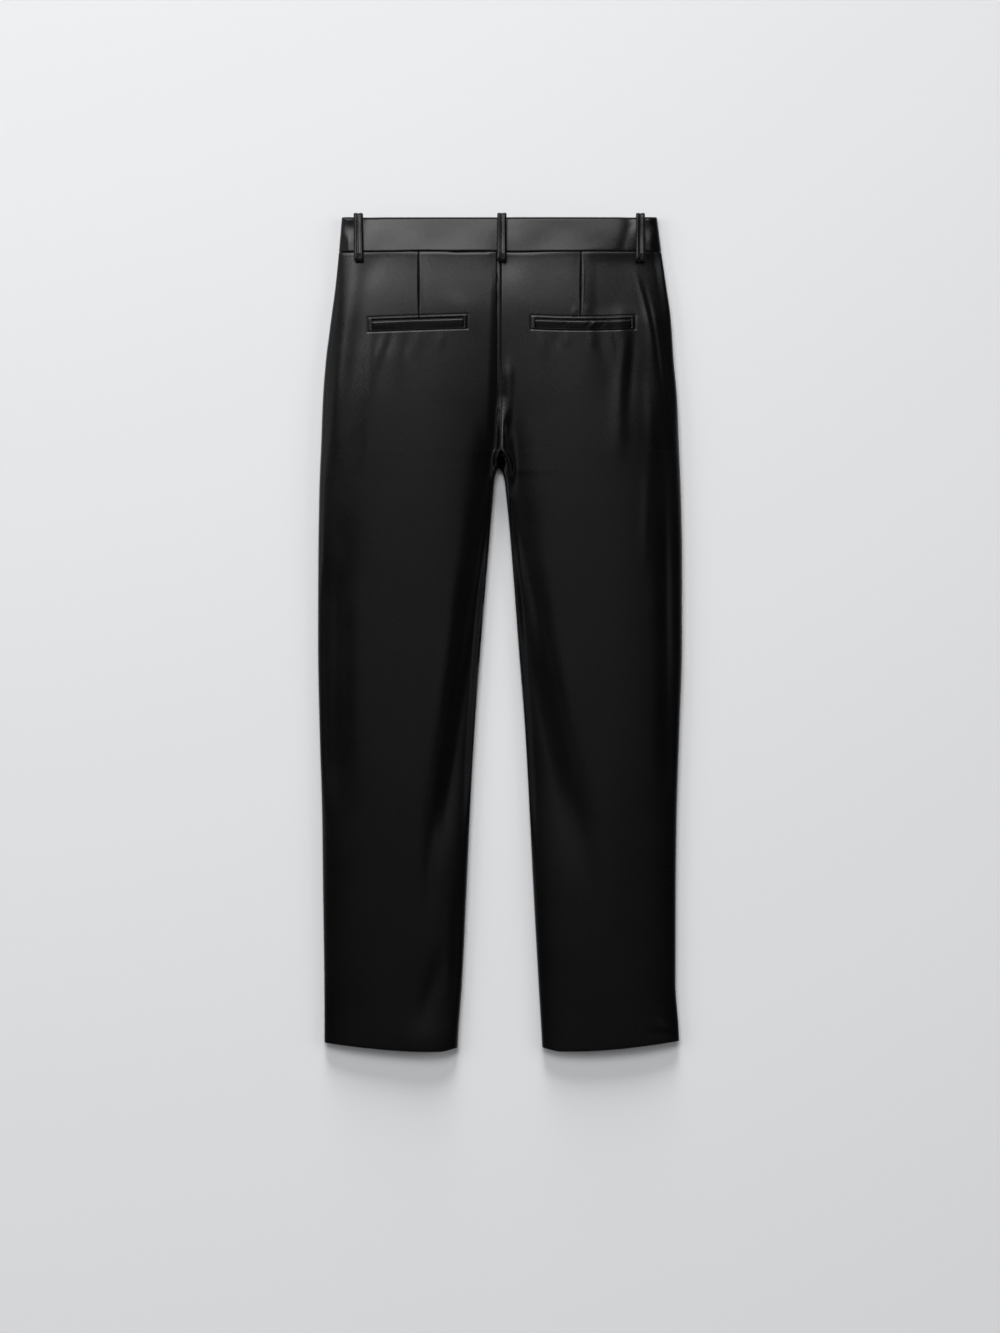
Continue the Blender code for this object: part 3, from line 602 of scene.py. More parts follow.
class Nodes:
    # the nodes of one material or world
    def __init__(self, owner, last):
        owner.use_nodes = True
        self.owner = owner
        self.tree = owner.node_tree
        self.last = self.tree.nodes[last]

    def add(self, kind, settings=None, inputs=None, output=0):
        node = self.tree.nodes.new(kind)
        for key, value in (settings or {}).items():
            setattr(node, key, value)
        for key, value in (inputs or {}).items():
            self.feed(node.inputs[key], value)
        return Signal(self, node.outputs[output])

    def feed(self, socket, value):
        if isinstance(value, Signal):
            self.tree.links.new(value.socket, socket)
        else:
            socket.default_value = value

    def set(self, **values):
        for key, value in values.items():
            self.feed(self.last.inputs[key.replace("_", " ")], value)

    def noise(self, place, scale, detail=2.0):
        return self.add("ShaderNodeTexNoise", None, {"Vector": place, "Scale": scale, "Detail": detail})

    def mix(self, factor, first, second):
        return self.add("ShaderNodeMix", {"data_type": "RGBA"}, {0: factor, 6: first, 7: second}, output=2)

    def bump(self, height, strength, distance):
        return self.add("ShaderNodeBump", None, {"Strength": strength, "Distance": distance, "Height": height})


leather = {
    "deep": (0.0010, 0.0010, 0.0011, 1.0), "worn": (0.0020, 0.0020, 0.0021, 1.0), "patchScale": 14.0,
    "grainSize": 0.0011, "grainEdge": 0.22, "poreSize": 0.00045, "poreShare": 0.3, "grainDepth": 0.00006,
    "grainStrength": 0.35, "roughness": 0.265, "roughnessSpread": 0.10, "grainRoughness": 0.04,
}


def leatherFinish(name, mapping="UV"):
    made = Nodes(bpy.data.materials.new(name), "Principled BSDF")
    place = made.add("ShaderNodeTexCoord", output=mapping)
    cells = {"Vector": place, "Scale": 1 / leather["grainSize"]}
    cells = made.add("ShaderNodeTexVoronoi", {"feature": "DISTANCE_TO_EDGE"}, cells)
    ridges = made.add("ShaderNodeMapRange", None, {"Value": cells, "From Min": 0.0, "From Max": leather["grainEdge"]})
    pores = made.noise(place, 1 / leather["poreSize"])
    patches = made.noise(place, leather["patchScale"], 3.0)
    height = ridges * (1 - leather["poreShare"]) + pores * leather["poreShare"]
    uneven = leather["roughnessSpread"] * (patches - 0.5) + leather["grainRoughness"] * (1 - ridges)
    made.set(Base_Color=made.mix(patches, leather["deep"], leather["worn"]), Roughness=leather["roughness"] + uneven)
    made.set(Normal=made.bump(height, leather["grainStrength"], leather["grainDepth"]))
    return made.owner


plainLooks = {
    "sewing_thread": {"kind": "ShaderNodeTexWave", "scale": 900.0, "dark": 0.004, "light": 0.016, "roughness": 0.55},
    "zip_tape": {"kind": "ShaderNodeTexChecker", "scale": 1600.0, "dark": 0.006, "light": 0.018, "roughness": 0.8},
    "hook_steel": {"kind": "ShaderNodeTexNoise", "scale": 900.0, "dark": 0.42, "light": 0.55, "roughness": 0.28},
    "roughnessSpread": 0.1,
    "weaveDepth": 0.0001,
    "weaveStrength": 0.4,
}


def plainFinish(name, inputs=None, output=0):
    # two greys and two roughnesses, laid out by one pattern
    look = plainLooks[name]
    made = Nodes(bpy.data.materials.new(name), "Principled BSDF")
    place = made.add("ShaderNodeTexCoord", output="Object")
    pattern = made.add(look["kind"], None, {"Vector": place, "Scale": look["scale"], **(inputs or {})}, output)
    greys = [(look[shade],) * 3 + (1.0,) for shade in ("dark", "light")]
    made.set(Base_Color=made.mix(pattern, *greys))
    made.set(Roughness=look["roughness"] + plainLooks["roughnessSpread"] * pattern)
    return made, pattern


clothFinish = leatherFinish("faux_leather")
frontFinish = leatherFinish("front_faux_leather", "Object")
threadFinish = plainFinish("sewing_thread", {"Distortion": 1.0})[0].owner
tape, weave = plainFinish("zip_tape", output=1)
tape.set(Normal=tape.bump(weave, plainLooks["weaveStrength"], plainLooks["weaveDepth"]))
tapeFinish = tape.owner
steel = plainFinish("hook_steel")[0]
steel.set(Metallic=1.0)
steelFinish = steel.owner
print("materials ready")


# back panels

backPanel = {
    "wall": 1.2, "lipRadius": 0.75, "lipTail": 0.7, "lipFlattens": (480, 620), "hemRadius": 0.66,
    "hemRows": 9, "rowStops": (60, 108, 140, 273, 330, 500, 900),
    "rowCounts": (13, 18, 42, 44, 26, 38, 58, 22),
    "columnCounts": (14, 14, 17, 17, 18, 18, 17, 15, 15, 4),
    "pocketEnds": 6.0,      # how far the fine columns reach beside a pocket's end
    "dartEnds": 5.0,
    "innerColumn": 12.0,    # where its columns change beside the inner and outer edges
    "outerColumns": (10.0, 8.0),
    "seatRow": 140.0,       # columns keep their place above this row
    "legRow": 420.0,        # and their share of the leg's width below this one
    "pocketRow": 124.0,     # rows tilt with the pockets round this one
    "pocketRows": 28.0, "flat": (0.262, 0.965), "area": 0.205,
}


def shareBelow(side, x, downs):
    # a place across the seat, carried on down the leg at the same share of its width
    row = backPanel["seatRow"]
    line = np.full(len(downs), x)
    inner, outer = innerEdge(side, downs), outerEdge(side, downs)
    seatInner, seatOuter = innerEdge(side, np.array(row)), outerEdge(side, np.array(row))
    share = (x - seatInner) / (seatOuter - seatInner)
    return line + (inner + (outer - inner) * share - line) * smooth(row, backPanel["legRow"], downs)


def crotchLift(side, x, downs, fromSeam):
    # the back's two edges stand up at the crotch, and the right panel beside them
    rise = between(*form["pinchRise"], downs)
    pinch = form["pinch"] * (0.6 * rise + 0.4 * smooth(0, 1, rise)) * (1 - smooth(*form["pinchFall"], downs))
    left, start, end = form["pinchWidths"]
    width = sideOf(side, left + 0 * downs, start + (end - start) * smooth(*form["pinchNarrows"], downs))
    hill = form["hill"] * smooth(*form["hillRise"], downs) * (1 - smooth(*form["hillFall"], downs))
    hill = hill * (1 - smooth(*form["hillReach"], x - form["centreX"])) * (side > 0)
    return pinch * bell(fromSeam, width) + hill


def backSheet(side):
    make, wall, lip = backPanel, backPanel["wall"], backPanel["lipRadius"]
    start = form["bandDepth"] + form["seamGap"] + wall / 2 + lip
    end = form["hemDown"] - wall / 2 - make["hemRadius"]
    downs = stops((start,) + make["rowStops"] + (end,), make["rowCounts"])
    section = crossSection(side, downs, wall)
    pocket, dart = pockets[side], darts[0 if side < 0 else 1]
    inseam = section["inner"] + curveAt(form["inseams"], sideOf(side, "left", "right"), downs)
    seam = np.where(downs > form["crotchDown"], np.maximum(inseam, 0.0), 0.0)
    first = seam + form["seamGap"] / 2 + wall / 2 + lip
    last = section["lengths"][:, -1] - form["seamGap"] / 2 - wall / 2 - lip
    nearEnd, farEnd = sideOf(side, pocket["xTo"], pocket["xFrom"]), sideOf(side, pocket["xFrom"], pocket["xTo"])
    lines = [first, np.maximum(section["inner"], first) + make["innerColumn"]]
    order = np.argsort(section["topX"][0] * side)
    for x, reach in ((nearEnd, "pocketEnds"), (dart["x"], "dartEnds"), (farEnd, "pocketEnds")):
        for beside in (-side * make[reach], side * make[reach]):
            rows = zip(shareBelow(side, x + beside, downs), section["topX"], section["topLengths"])
            lines.append(np.array([np.interp(a * side, (t * side)[order], l[order]) for a, t, l in rows]))
    lines += [section["outer"] - make["outerColumns"][0], section["outer"] + make["outerColumns"][1], last]
    lengths, x, z = columnsAt(section, lines, make["columnCounts"])
    inner, outer, downs = section["inner"][:, None], section["outer"][:, None], downs[:, None]
    shift = np.maximum(0.0, 1 - (form["hemDown"] - downs) / form["hemBlend"]) ** 2
    tilt = pocketTop(side, x) - pocketTop(side, np.array((nearEnd + farEnd) / 2))
    nearPocket = np.exp(-(((downs - make["pocketRow"]) / make["pocketRows"]) ** 4))
    down = downs + (hemLine(side, x) - form["hemDown"]) * shift + tilt * nearPocket
    onTop = (lengths > inner + 4) & (lengths < outer - 4) | (downs < 250) & (lengths < 150)
    z += crotchLift(side, x, downs, lengths - first[:, None])
    details = dartHeight(x, down) + pocketHeight(side, x, down) + seamDip(x, down) + centreStrip(x, down)
    z += np.where(onTop, details, 0.0)
    down += seamWave(x) * (1 - smooth(0, 30, downs - form["bandDepth"]))
    sheet = {"points": np.stack((x, form["topY"] - down, z), axis=2), "flat": np.stack((lengths, down), axis=2)}
    sheet["normals"] = withNormals(sheet["points"], side)
    bend = 90 * (1 - smooth(*make["lipFlattens"], downs[:, 0]))
    sheet = turnUnder(sheet, "firstColumn", lip, bend, 5, make["lipTail"])
    sheet = turnUnder(sheet, "lastColumn", lip, 0, 3, 0)
    sheet = turnUnder(sheet, "firstRow", lip, 90, 5, make["lipTail"])
    return foldBack(sheet, "lastRow", make["hemRadius"], 8, make["hemRows"])


for side in (-1, 1):
    name = sideOf(side, "left", "right")
    panel = clothPiece("backPanel_" + name, backSheet(side), backPanel["wall"], clothFinish)
    declare(panel, ["back_" + name], ["front_" + name])
    print("back panel", name, len(panel.data.polygons), "faces")


# waistband: the back's outer layer folds over the top edge into the inner one

waistband = {
    "solidWall": 2.2, "wall": 0.95, "lipRadius": 0.55, "foldRadius": 0.6, "rowStops": (4.0, 14.0),
    "rowCounts": (8, 10, 24), "columnCounts": (110, 14, 5),
    "endColumns": (16.0, 9.0),      # where its columns change before and after the outer edge
    "innerRows": 38, "waveRows": (20, 40),
    "lean": 4.1,            # its top edge lies lower than the solid's
    "leanFades": (2, 34),   # toward its ends, as the relief does
    "reliefFades": (1, 12),
    "wave": (0.25, 23.0, 15.0),     # height, and lengths across and down
    "ripple": (0.18, 9.7), "loopDip": (0.35, 0.0, 11.0), "endRidge": (1.0, 177.0, 8.0),
    "corner": (1.2, 153.0, 9.0),    # a hollow beside each outer loop
    "streak": (0.5, 149.0, 6.5),    # a slanting crease beside the right loop
    "edgeRoll": 1.5,        # it turns down toward the top edge
    "edgeRollEnd": 3.2, "flat": (0.40, 0.088),
}


def bandLean(x, down):
    return -waistband["lean"] * (1 - down / form["bandDepth"]) * (1 - 0.25 * smooth(0, 30, x))


def bandRelief(x, down):
    make = waistband
    high, across, along = make["wave"]
    total = high * np.sin(x / across + 1.3) * np.sin(down / along)
    total = total + make["ripple"][0] * np.sin(x / make["ripple"][1]) * smooth(12, 34, down)
    for loop in backLoops:
        total = total - ridge(make["loopDip"], x - loop["x"]) * (0.4 + 0.6 * smooth(4, 20, down))
    end = ridge(make["endRidge"], np.abs(x)) * (bell(down - 3, 5) + 1.5 * smooth(11, 32, down))
    corner = ridge(make["corner"], np.abs(x)) * bell(down + 2, 13)
    streak = ridge(make["streak"], x + 0.3 * (down - 20)) * smooth(4, 14, down)
    roll = make["edgeRoll"] * (1 - smooth(0, make["edgeRollEnd"], down))
    return total + end - corner - streak - roll


def bandSheet():
    make = waistband
    wall, thick, lip, fold = make["wall"], make["solidWall"], make["lipRadius"], make["foldRadius"]
    rows = (fold + wall / 2,) + make["rowStops"] + (form["bandDepth"] - lip - wall / 2,)
    downs = stops(rows, make["rowCounts"])
    halves = []
    for side in (-1, 1):
        section = crossSection(side, downs, thick)
        ends = section["lengths"][:, -1] - form["seamGap"] / 2
        lines = [0 * ends, section["outer"] - make["endColumns"][0], section["outer"] + make["endColumns"][1], ends]
        lengths, x, z = columnsAt(section, lines, make["columnCounts"])
        down = downs[:, None] + seamWave(x) * smooth(*make["waveRows"], downs)[:, None]
        fromEnd = section["outer"][:, None] - lengths
        z += bandLean(x, down) * smooth(*make["leanFades"], fromEnd)
        z += bandRelief(x, down) * smooth(*make["reliefFades"], fromEnd)
        points = np.stack((x, form["topY"] - down, z), axis=2)
        flat = np.stack((side * lengths, down), axis=2)
        halves.append((points, flat) if side > 0 else (points[:, ::-1], flat[:, ::-1]))
    points, flat = [np.concatenate((left, right[:, 1:]), axis=1) for left, right in zip(*halves)]
    normals = withNormals(points, 1)
    sheet = {"points": points + normals * (thick - wall) / 2, "normals": normals, "flat": flat}
    sheet = turnUnder(sheet, "lastRow", lip, 90, 4, 0.3)
    return foldBack(sheet, "firstRow", fold, 8, make["innerRows"])


band = clothPiece("waistband_outer_back", bandSheet(), waistband["wall"], clothFinish)
declare(band, ["waistband_back"], ["waistband_front_left", "waistband_front_right"])
print("waistband ready")


# belt loops: a strap folded in three, tucked under at both ends

loopMake = {
    "solidWall": 1.4, "wall": 0.9,
    "lift": 0.36,           # over what it lies on
    "top": -4.2, "end": 53.0, "rise": 5.3, "sag": 0.5, "foot": 7.0, "footRows": 4, "turnSteps": 12,
    "strapSteps": 34, "lip": 0.5, "columnStops": (-2.2, -0.8, 0.8, 2.2), "columnCounts": (8, 4, 6, 4, 8),
    "rail": (0.42, 3.1, 0.9),       # two folded edges stand up along it
    "groove": (0.25, 0.0, 0.6), "edgeDrop": 0.3, "edgeDrops": (4.0, 5.2),
    "spread": 0.05,         # it widens toward its foot
    "spreads": (40, 44), "flat": (0.012, 0.082),
}


def topAt(x, down):
    # height of the back's middle layer at one place
    height = 0.0
    for side in (-1, 1):
        inner = innerEdge(side, down)
        share = between(inner, outerEdge(side, down), x)
        height = np.where((x < form["centreX"]) == (side < 0), topHeight(side, down, share), height)
    return height


def loopPath():
    # (down, height over what it lies on): top foot, fold, strap, fold, bottom foot
    make = loopMake
    low = make["lift"] + make["solidWall"] / 2
    radius = make["rise"] / 2
    top, bottom = make["top"] + make["solidWall"] / 2, make["end"] - make["solidWall"] / 2
    turn = np.linspace(0, math.pi, make["turnSteps"] + 1)
    strap = np.linspace(top + radius, bottom - radius, make["strapSteps"] + 1)[1:-1]
    sag = -make["sag"] * np.sin(math.pi * np.linspace(0, 1, make["strapSteps"] + 1)[1:-1]) ** 2
    count = make["footRows"]
    downs = np.concatenate((
        np.linspace(make["top"] + make["foot"] + radius, top + radius, count + 1)[:-1],
        top + radius * (1 - np.sin(turn)), strap, bottom - radius * (1 - np.sin(turn)),
        np.linspace(bottom - radius, make["end"] - make["foot"] - radius, count + 1)[1:]))
    heights = np.concatenate((
        np.full(count, low), low + radius * (1 - np.cos(turn)), low + make["rise"] + sag,
        low + radius * (1 + np.cos(turn)), np.full(count, low)))
    return downs, heights


def loopSheet(loop):
    make = loopMake
    downs, heights = loopPath()
    edges = np.array([loop["x"] - loop["width"] / 2, loop["x"], loop["x"] + loop["width"] / 2])
    faces = [np.max(topAt(edges, np.full(3, down))) + waistband["solidWall"] / 2 for down in (0.0, make["end"])]
    faces[0] -= waistband["lean"] * 0.8
    half = loop["width"] / 2 - make["lip"] - make["wall"] / 2
    across = stops((-half,) + make["columnStops"] + (half,), make["columnCounts"])
    relief = ridge(make["rail"], np.abs(across)) - ridge(make["groove"], across)
    relief = relief - make["edgeDrop"] * smooth(*make["edgeDrops"], np.abs(across))
    t = (downs - make["top"]) / (make["end"] - make["top"])
    wider = 1 + make["spread"] * smooth(*make["spreads"], downs)
    x = loop["x"] + across[None, :] * wider[:, None] + (loop["lean"] * (t - 0.5))[:, None]
    middle = (faces[0] + (faces[1] - faces[0]) * downs / make["end"] + heights)[:, None] + 0 * x
    run = np.concatenate(([0.0], np.cumsum(np.hypot(np.diff(downs), np.diff(heights)))))
    points = np.stack((x, form["topY"] - downs[:, None] + 0 * x, middle), axis=2)
    normals = withNormals(points, 1)
    points = points + normals * ((make["solidWall"] - make["wall"]) / 2 + relief)[None, :, None]
    flat = np.stack((across[None, :] + 0 * x, run[:, None] + 0 * x), axis=2)
    sheet = {"points": points, "normals": normals, "flat": flat}
    for edge in ("firstColumn", "lastColumn"):
        sheet = turnUnder(sheet, edge, make["lip"], 90, 3, 0.25)
    return sheet


for loop in backLoops:
    strap = clothPiece("belt_strap_" + loop["name"], loopSheet(loop), loopMake["wall"], clothFinish)
    declare(strap, ["belt_loop_" + loop["name"]], [band])
print("belt loops ready")


# pocket welts: a folded strip in each window

weltMake = {
    "wall": 0.8,
    "high": 0.7,            # its outer face at the fold and at the lower lip, over the panel's
    "low": -1.1, "falls": 1.2, "bead": 0.7, "beadDepth": 2.6, "lip": 0.5, "endGap": 0.5, "lowGap": 0.4,
    "wave": 0.12, "waveLength": 13.0,
    "puckers": ((112.0, 0.4), (106.0, -0.3), (123.0, -0.25), (78.0, -0.2)),     # place and height, right welt
    "puckerWidth": 2.6, "puckerLean": 0.7, "rowCount": 16, "columnCount": 150,
}


def raised(x, down, height):
    # this far above the back's middle layer, along its normal
    step = 1.0
    slopeX = (topAt(x + step, down) - topAt(x - step, down)) / (2 * step)
    slopeDown = (topAt(x, down + step) - topAt(x, down - step)) / (2 * step)
    size = np.sqrt(1 + slopeX**2 + slopeDown**2)
    y = form["topY"] - down + slopeDown / size * height
    return np.stack((x - slopeX / size * height, y, topAt(x, down) + height / size), axis=-1)


def weltSheet(side):
    make, pocket = weltMake, pockets[side]
    wall, lip = make["wall"], make["lip"]
    ends = make["endGap"] + lip + wall / 2
    x = np.linspace(pocket["xFrom"] + ends, pocket["xTo"] - ends, make["columnCount"] + 1)[None, :]
    past = np.linspace(lip + wall / 2, pocket["depth"] - make["lowGap"], make["rowCount"] + 1)[:, None]
    share = past / pocket["depth"]
    face = make["high"] + (make["low"] - make["high"]) * share ** make["falls"]
    face = face - make["bead"] * np.clip(1 - past / make["beadDepth"], 0.0, 1.0) ** 2
    face = face + make["wave"] * np.sin(x / make["waveLength"]) * np.sin(math.pi * share)
    for place, height in make["puckers"] if side > 0 else ():
        lean = make["puckerLean"] * past
        face = face + height * bell(x - place + lean, make["puckerWidth"]) * np.sin(math.pi * share)
    x, past = np.broadcast_arrays(x, past)
    points = raised(x, pocketTop(side, x) + past, form["panelWall"] / 2 + face - wall / 2)
    sheet = {"points": points, "normals": withNormals(points, 1), "flat": np.stack((x, past), axis=2)}
    sheet = turnUnder(sheet, "firstRow", lip, 90, 5, 0.3)
    for edge in ("firstColumn", "lastColumn"):
        sheet = turnUnder(sheet, edge, lip, 90, 3, 0.2)
    return sheet


for side in (-1, 1):
    name, pocket = sideOf(side, "left", "right"), pockets[side]
    welt = clothPiece("welt_strip_" + name, weltSheet(side), weltMake["wall"], clothFinish)
    size = ((pocket["xTo"] - pocket["xFrom"] + 1.5) * mm, (pocket["depth"] + 1.5) * mm)
    declare(welt, ["pocket_welt_" + name], ["backPanel_" + name])
print("welts ready")


# sewing: lockstitches round each pocket, and a bar tack across the foot of each belt loop

sewing = {
    "pitch": 3.1, "length": 2.2, "thick": 0.42,
    "dive": 0.22,           # how far a stitch's ends go into the cloth
    "tackFrom": 44.0, "tackTo": 49.0, "tackRows": 8,
    "tackWidth": 3.6,       # to each side of the loop's middle
    "tackLift": 0.3, "lift": 0.08,
}


def stitchModel(length):
    # a round thread whose ends turn down into the cloth
    deselectAll()
    half, radius = length / 2 * mm, sewing["thick"] / 2 * mm
    bpy.ops.mesh.primitive_uv_sphere_add(segments=8, ring_count=6, radius=radius, rotation=(0, math.pi / 2, 0))
    stitch = bpy.context.object
    bpy.ops.object.transform_apply(location=True, rotation=True, scale=True)
    for vertex in stitch.data.vertices:
        vertex.co.x += math.copysign(half - radius, vertex.co.x) if abs(vertex.co.x) > 1e-7 else 0.0
        vertex.co.z -= sewing["dive"] * mm * (vertex.co.x / half) ** 2
    return stitch


def joinAll(pieces, name, finish):
    deselectAll()
    for piece in pieces:
        piece.select_set(True)
    bpy.context.view_layer.objects.active = pieces[0]
    bpy.ops.object.join()
    bpy.ops.object.transform_apply(location=True, rotation=True, scale=True)
    joined = bpy.context.object
    joined.name = joined.data.name = name
    joined.data.materials.clear()
    joined.data.materials.append(finish)
    return joined


def sewRuns(name, model, runs):
    # one copy of the stitch for each pair of ends, joined
    copies = []
    for start, end in runs:
        start, end = Vector(start) * mm, Vector(end) * mm
        copy = bpy.data.objects.new(name, model.data.copy())
        bpy.context.scene.collection.objects.link(copy)
        turn = (end - start).to_track_quat("X", "Z").to_matrix().to_4x4()
        copy.matrix_world = Matrix.Translation((start + end) / 2) @ turn
        copies.append(copy)
    declare(joinAll(copies, name, threadFinish), [])
    bpy.ops.object.shade_smooth()


def pocketRuns(side):
    pocket = pockets[side]
    left, right = pocket["xFrom"] - pockets["frameEnds"], pocket["xTo"] + pockets["frameEnds"]
    upper, lower = -pockets["slot"] - pockets["frameAbove"], pocket["depth"] + pockets["frameBelow"]
    corners = [(left, upper), (right, upper), (right, lower), (left, lower), (left, upper)]
    runs = []
    for (x0, past0), (x1, past1) in zip(corners, corners[1:]):
        count = round(math.hypot(x1 - x0, past1 - past0) / sewing["pitch"])
        for step in range(count):
            ends = (np.array((-0.5, 0.5)) * sewing["length"] / sewing["pitch"] + step + 0.5) / count
            x, past = x0 + (x1 - x0) * ends, past0 + (past1 - past0) * ends
            down = pocketTop(side, x) + past
            lift = form["panelWall"] / 2 + sewing["lift"]
            runs.append(raised(x, down, lift + pocketHeight(side, x, down)))
    return runs


def tackRuns(loop):
    # rows of thread across the strap, from its own sheet
    sheet = loopSheet(loop)
    downs = form["topY"] - sheet["points"][:, sheet["points"].shape[1] // 2, 1]
    first = loopMake["turnSteps"] + loopMake["footRows"]
    strap = slice(first, first + loopMake["strapSteps"])
    face = (sheet["points"] + sheet["normals"] * loopMake["wall"] / 2)[strap]
    wanted = np.linspace(sewing["tackFrom"], sewing["tackTo"], sewing["tackRows"])
    runs = []
    for row in np.interp(wanted, downs[strap], np.arange(len(face))):
        above, below = face[int(row)], face[min(int(row) + 1, len(face) - 1)]
        line = above + (below - above) * (row - int(row))
        ends = [[np.interp(loop["x"] + reach, line[:, 0], line[:, axis]) for axis in (0, 1, 2)]
                for reach in (-sewing["tackWidth"], sewing["tackWidth"])]
        runs.append([(x, y, z + sewing["tackLift"]) for x, y, z in ends])
    return runs


shortStitch = stitchModel(sewing["length"])
longStitch = stitchModel(2 * sewing["tackWidth"])
for side in (-1, 1):
    sewRuns("pocket_stitches_" + sideOf(side, "left", "right"), shortStitch, pocketRuns(side))
for loop in backLoops:
    sewRuns("bar_tack_" + loop["name"], longStitch, tackRuns(loop))
bpy.data.objects.remove(shortStitch)
bpy.data.objects.remove(longStitch)
print("sewing ready")


# the front, which lies underneath: finer copies of its solids

fronts = {
    "levels": 2,
    "crease": 40.0,         # degrees: sharper edges keep their place
    "mergeWithin": 0.00002, "joinAngles": (0.6, 1.2), "forkX": -1.5, "forkDip": 5.0,
    "forkWidths": (3.0, 6.5),       # left and right of its lowest line
    "forkHeights": (5.6, 8.5),      # only cloth above these, and above these rows
    "forkRows": (290, 303),
    "pieces": [             # node, piece, flat size and area, the same left and right
        ("front_", "frontPanel_", (0.195, 0.940), 0.150),
        ("fork_", "forkStrip_", (0.013, 0.195), 0.0015),
        ("waistband_front_", "waistband_", (0.183, 0.041), None),
        ("belt_loop_front_", "belt_strap_front_", (0.011, 0.052), None),
    ],
}


def hollowFork(mesh):
    # between the back's inseams the front's cloth dips toward its own seam
    places = np.empty(len(mesh.vertices) * 3)
    mesh.vertices.foreach_get("co", places)
    places = places.reshape(-1, 3)
    x, down, z = places[:, 0] / mm, form["topY"] - places[:, 1] / mm, places[:, 2] / mm
    width = np.where(x < fronts["forkX"], *fronts["forkWidths"])
    dip = fronts["forkDip"] * bell(x - fronts["forkX"], width)
    places[:, 2] -= dip * smooth(*fronts["forkHeights"], z) * (1 - smooth(*fronts["forkRows"], down)) * mm
    mesh.vertices.foreach_set("co", places.ravel())
    mesh.update()


def fineCopy(node, name, finish):
    piece = bpy.data.objects.new(name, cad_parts[node].data.copy())
    bpy.context.scene.collection.objects.link(piece)
    piece.data.materials.clear()
    piece.data.materials.append(finish)
    build = bmesh.new()
    build.from_mesh(piece.data)
    bmesh.ops.remove_doubles(build, verts=build.verts, dist=fronts["mergeWithin"])
    flat, shape = fronts["joinAngles"]
    bmesh.ops.join_triangles(build, faces=build.faces, angle_face_threshold=flat, angle_shape_threshold=shape)
    crease = build.edges.layers.float.new("crease_edge")
    for edge in build.edges:
        if len(edge.link_faces) == 2 and edge.calc_face_angle() > math.radians(fronts["crease"]):
            edge[crease] = 1.0
    build.to_mesh(piece.data)
    build.free()
    smoothing = piece.modifiers.new("smooth", "SUBSURF")
    smoothing.levels = smoothing.render_levels = fronts["levels"]
    applyAll(piece)
    bpy.ops.object.shade_smooth_by_angle(angle=smoothAngle)
    return piece


for node, name, size, area in fronts["pieces"]:
    for side in ("left", "right"):
        copy = fineCopy(node + side, name + side, clothFinish if "waistband" in node else frontFinish)
        if "fork" in node:
            hollowFork(copy.data)
        declare(copy, [node + side], [])
print("front ready")


# trim that doesn't show: the zip under the fly and the hook

zipMake = {"pitch": 3.0, "stagger": 0.6, "tooth": (2.2, 1.6, 1.2), "flat": (0.022, 0.140)}

low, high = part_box("fly_zip")
zipTape = fineCopy("fly_zip", "zip_tape", tapeFinish)
deselectAll()
teeth = []
for step in range(int((high.y - low.y) / mm / zipMake["pitch"]) - 1):
    beside = zipMake["stagger"] if step % 2 else -zipMake["stagger"]
    spot = ((form["centreX"] + beside) * mm, high.y - (step + 1) * zipMake["pitch"] * mm, high.z)
    bpy.ops.mesh.primitive_cube_add(size=1, location=spot)
    bpy.context.object.scale = [size * mm for size in zipMake["tooth"]]
    teeth.append(bpy.context.object)
chain = joinAll(teeth, "zip_teeth", tapeFinish)
declare(chain, [])
declare(zipTape, ["fly_zip"], ["front_left", "front_right"])

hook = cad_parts["waist_hook"]
hook.data.materials.clear()
hook.data.materials.append(steelFinish)
print("trim ready")


# studio

studio = {
    "floorSize": 9.0, "floorDown": 0.3, "floorColour": (0.80, 0.81, 0.825, 1.0), "floorRoughness": 0.9,
    "floorShine": 0.2,
    "wallRise": (0.05, 0.55),       # the walls darken from the ground up to here
    "wallLow": (0.30, 0.30, 0.31, 1.0), "wallHigh": (0.015, 0.015, 0.016, 1.0),
    "backdrop": (0.80, 0.81, 0.82, 1.0),
    "pixelSize": 1.175,             # mm of the garment for each pixel of a frame 1333 high
    "frameHeight": 1333, "frameMiddle": (-0.2, -39.8), "lens": 85.0, "sensor": 36.0,
}

deselectAll()
bpy.ops.mesh.primitive_plane_add(size=studio["floorSize"], location=(0, 0, -studio["floorDown"] * mm))
floor = bpy.context.object
floor.name = "floor"
paper = Nodes(bpy.data.materials.new("floor_paper"), "Principled BSDF")
paper.set(Base_Color=studio["floorColour"], Roughness=studio["floorRoughness"])
paper.set(Specular_IOR_Level=studio["floorShine"])
floor.data.materials.append(paper.owner)


def addLamp(kind, name, place, turn, energy, glossy):
    bpy.ops.object.light_add(type=kind, location=place, rotation=turn)
    lamp = bpy.context.object
    lamp.name = name
    lamp.data.energy = energy
    lamp.visible_glossy = glossy
    return lamp.data


def areaLight(name, place, aim, size, watts, glossy=True):
    away = [a - b for a, b in zip(place, aim)]
    turn = (math.atan2(math.hypot(away[0], away[1]), away[2]), 0, math.atan2(away[0], -away[1]))
    light = addLamp("AREA", name, place, turn, watts, glossy)
    light.shape = "RECTANGLE"
    light.size, light.size_y = size


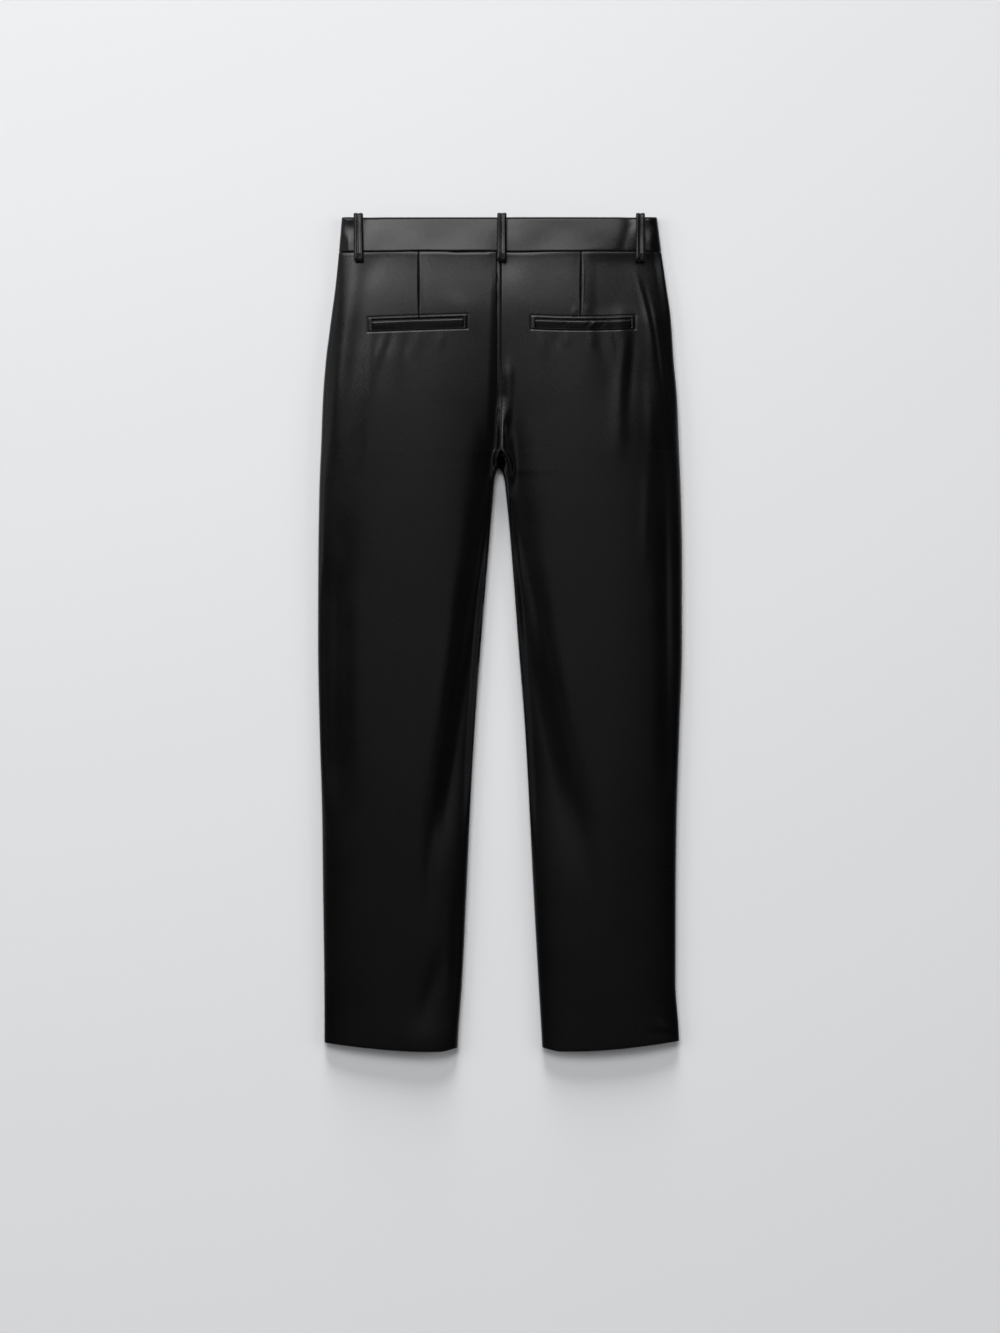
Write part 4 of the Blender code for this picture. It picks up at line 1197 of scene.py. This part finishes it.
areaLight("key_softbox", (-0.62, 2.05, 2.65), (-0.1, 0.3, 0.0), (2.45, 1.5), 53)
areaLight("left_reflector", (-2.7, 0.7, 1.45), (0.0, 0.2, 0.0), (2.4, 1.1), 5)
areaLight("far_wall", (0.0, -3.0, 1.5), (0.0, 0.0, 0.0), (3.2, 1.1), 4)
areaLight("ceiling_panel", (0.0, 0.8, 4.6), (0.0, 0.8, 0.0), (1.7, 2.3), 2.7)
areaLight("ceiling_wash", (0.0, -0.6, 4.65), (0.0, -0.6, 0.0), (2.2, 3.6), 1.9)
areaLight("fill_overhead", (0.0, 0.6, 4.7), (0.0, 0.0, 0.0), (4.5, 4.5), 8, glossy=False)


def farLight(name, rise, bearing, spread, strength):
    # daylight from far off, this high above the ground and this far round from the waist's side, in degrees
    turn = (math.radians(90 - rise), 0, math.radians(180 + bearing))
    addLamp("SUN", name, (0, 0, 3), turn, strength, False).angle = math.radians(spread)


farLight("low_window", 11.5, 2, 21, 4.6)
farLight("side_window_left", 24, 78, 26, 0.7)
farLight("side_window_right", 24, -78, 26, 0.7)

sky = Nodes(bpy.data.worlds.new("studio"), "Background")
bpy.context.scene.world = sky.owner
up = sky.add("ShaderNodeSeparateXYZ", None, {0: sky.add("ShaderNodeTexCoord")}, output=2)
low, high = studio["wallRise"]
up = sky.add("ShaderNodeMapRange", None, {"Value": up, "From Min": low, "From Max": high})
walls = sky.mix(up, studio["wallLow"], studio["wallHigh"])
sky.set(Color=sky.mix(sky.add("ShaderNodeLightPath"), walls, studio["backdrop"]))     # its first output: camera rays
bpy.context.scene.view_settings.view_transform = "Standard"

frameHeight = studio["frameHeight"] * studio["pixelSize"] * mm
distance = frameHeight / 2 / (studio["sensor"] / 2 / studio["lens"])
x, y = studio["frameMiddle"]
bpy.ops.object.camera_add(location=(x * mm, y * mm, distance + form["edgeHeight"] * mm), rotation=(0, 0, 0))
camera = bpy.context.object
camera.data.lens = studio["lens"]
camera.data.sensor_width = studio["sensor"]
bpy.context.scene.camera = camera
print("studio ready")
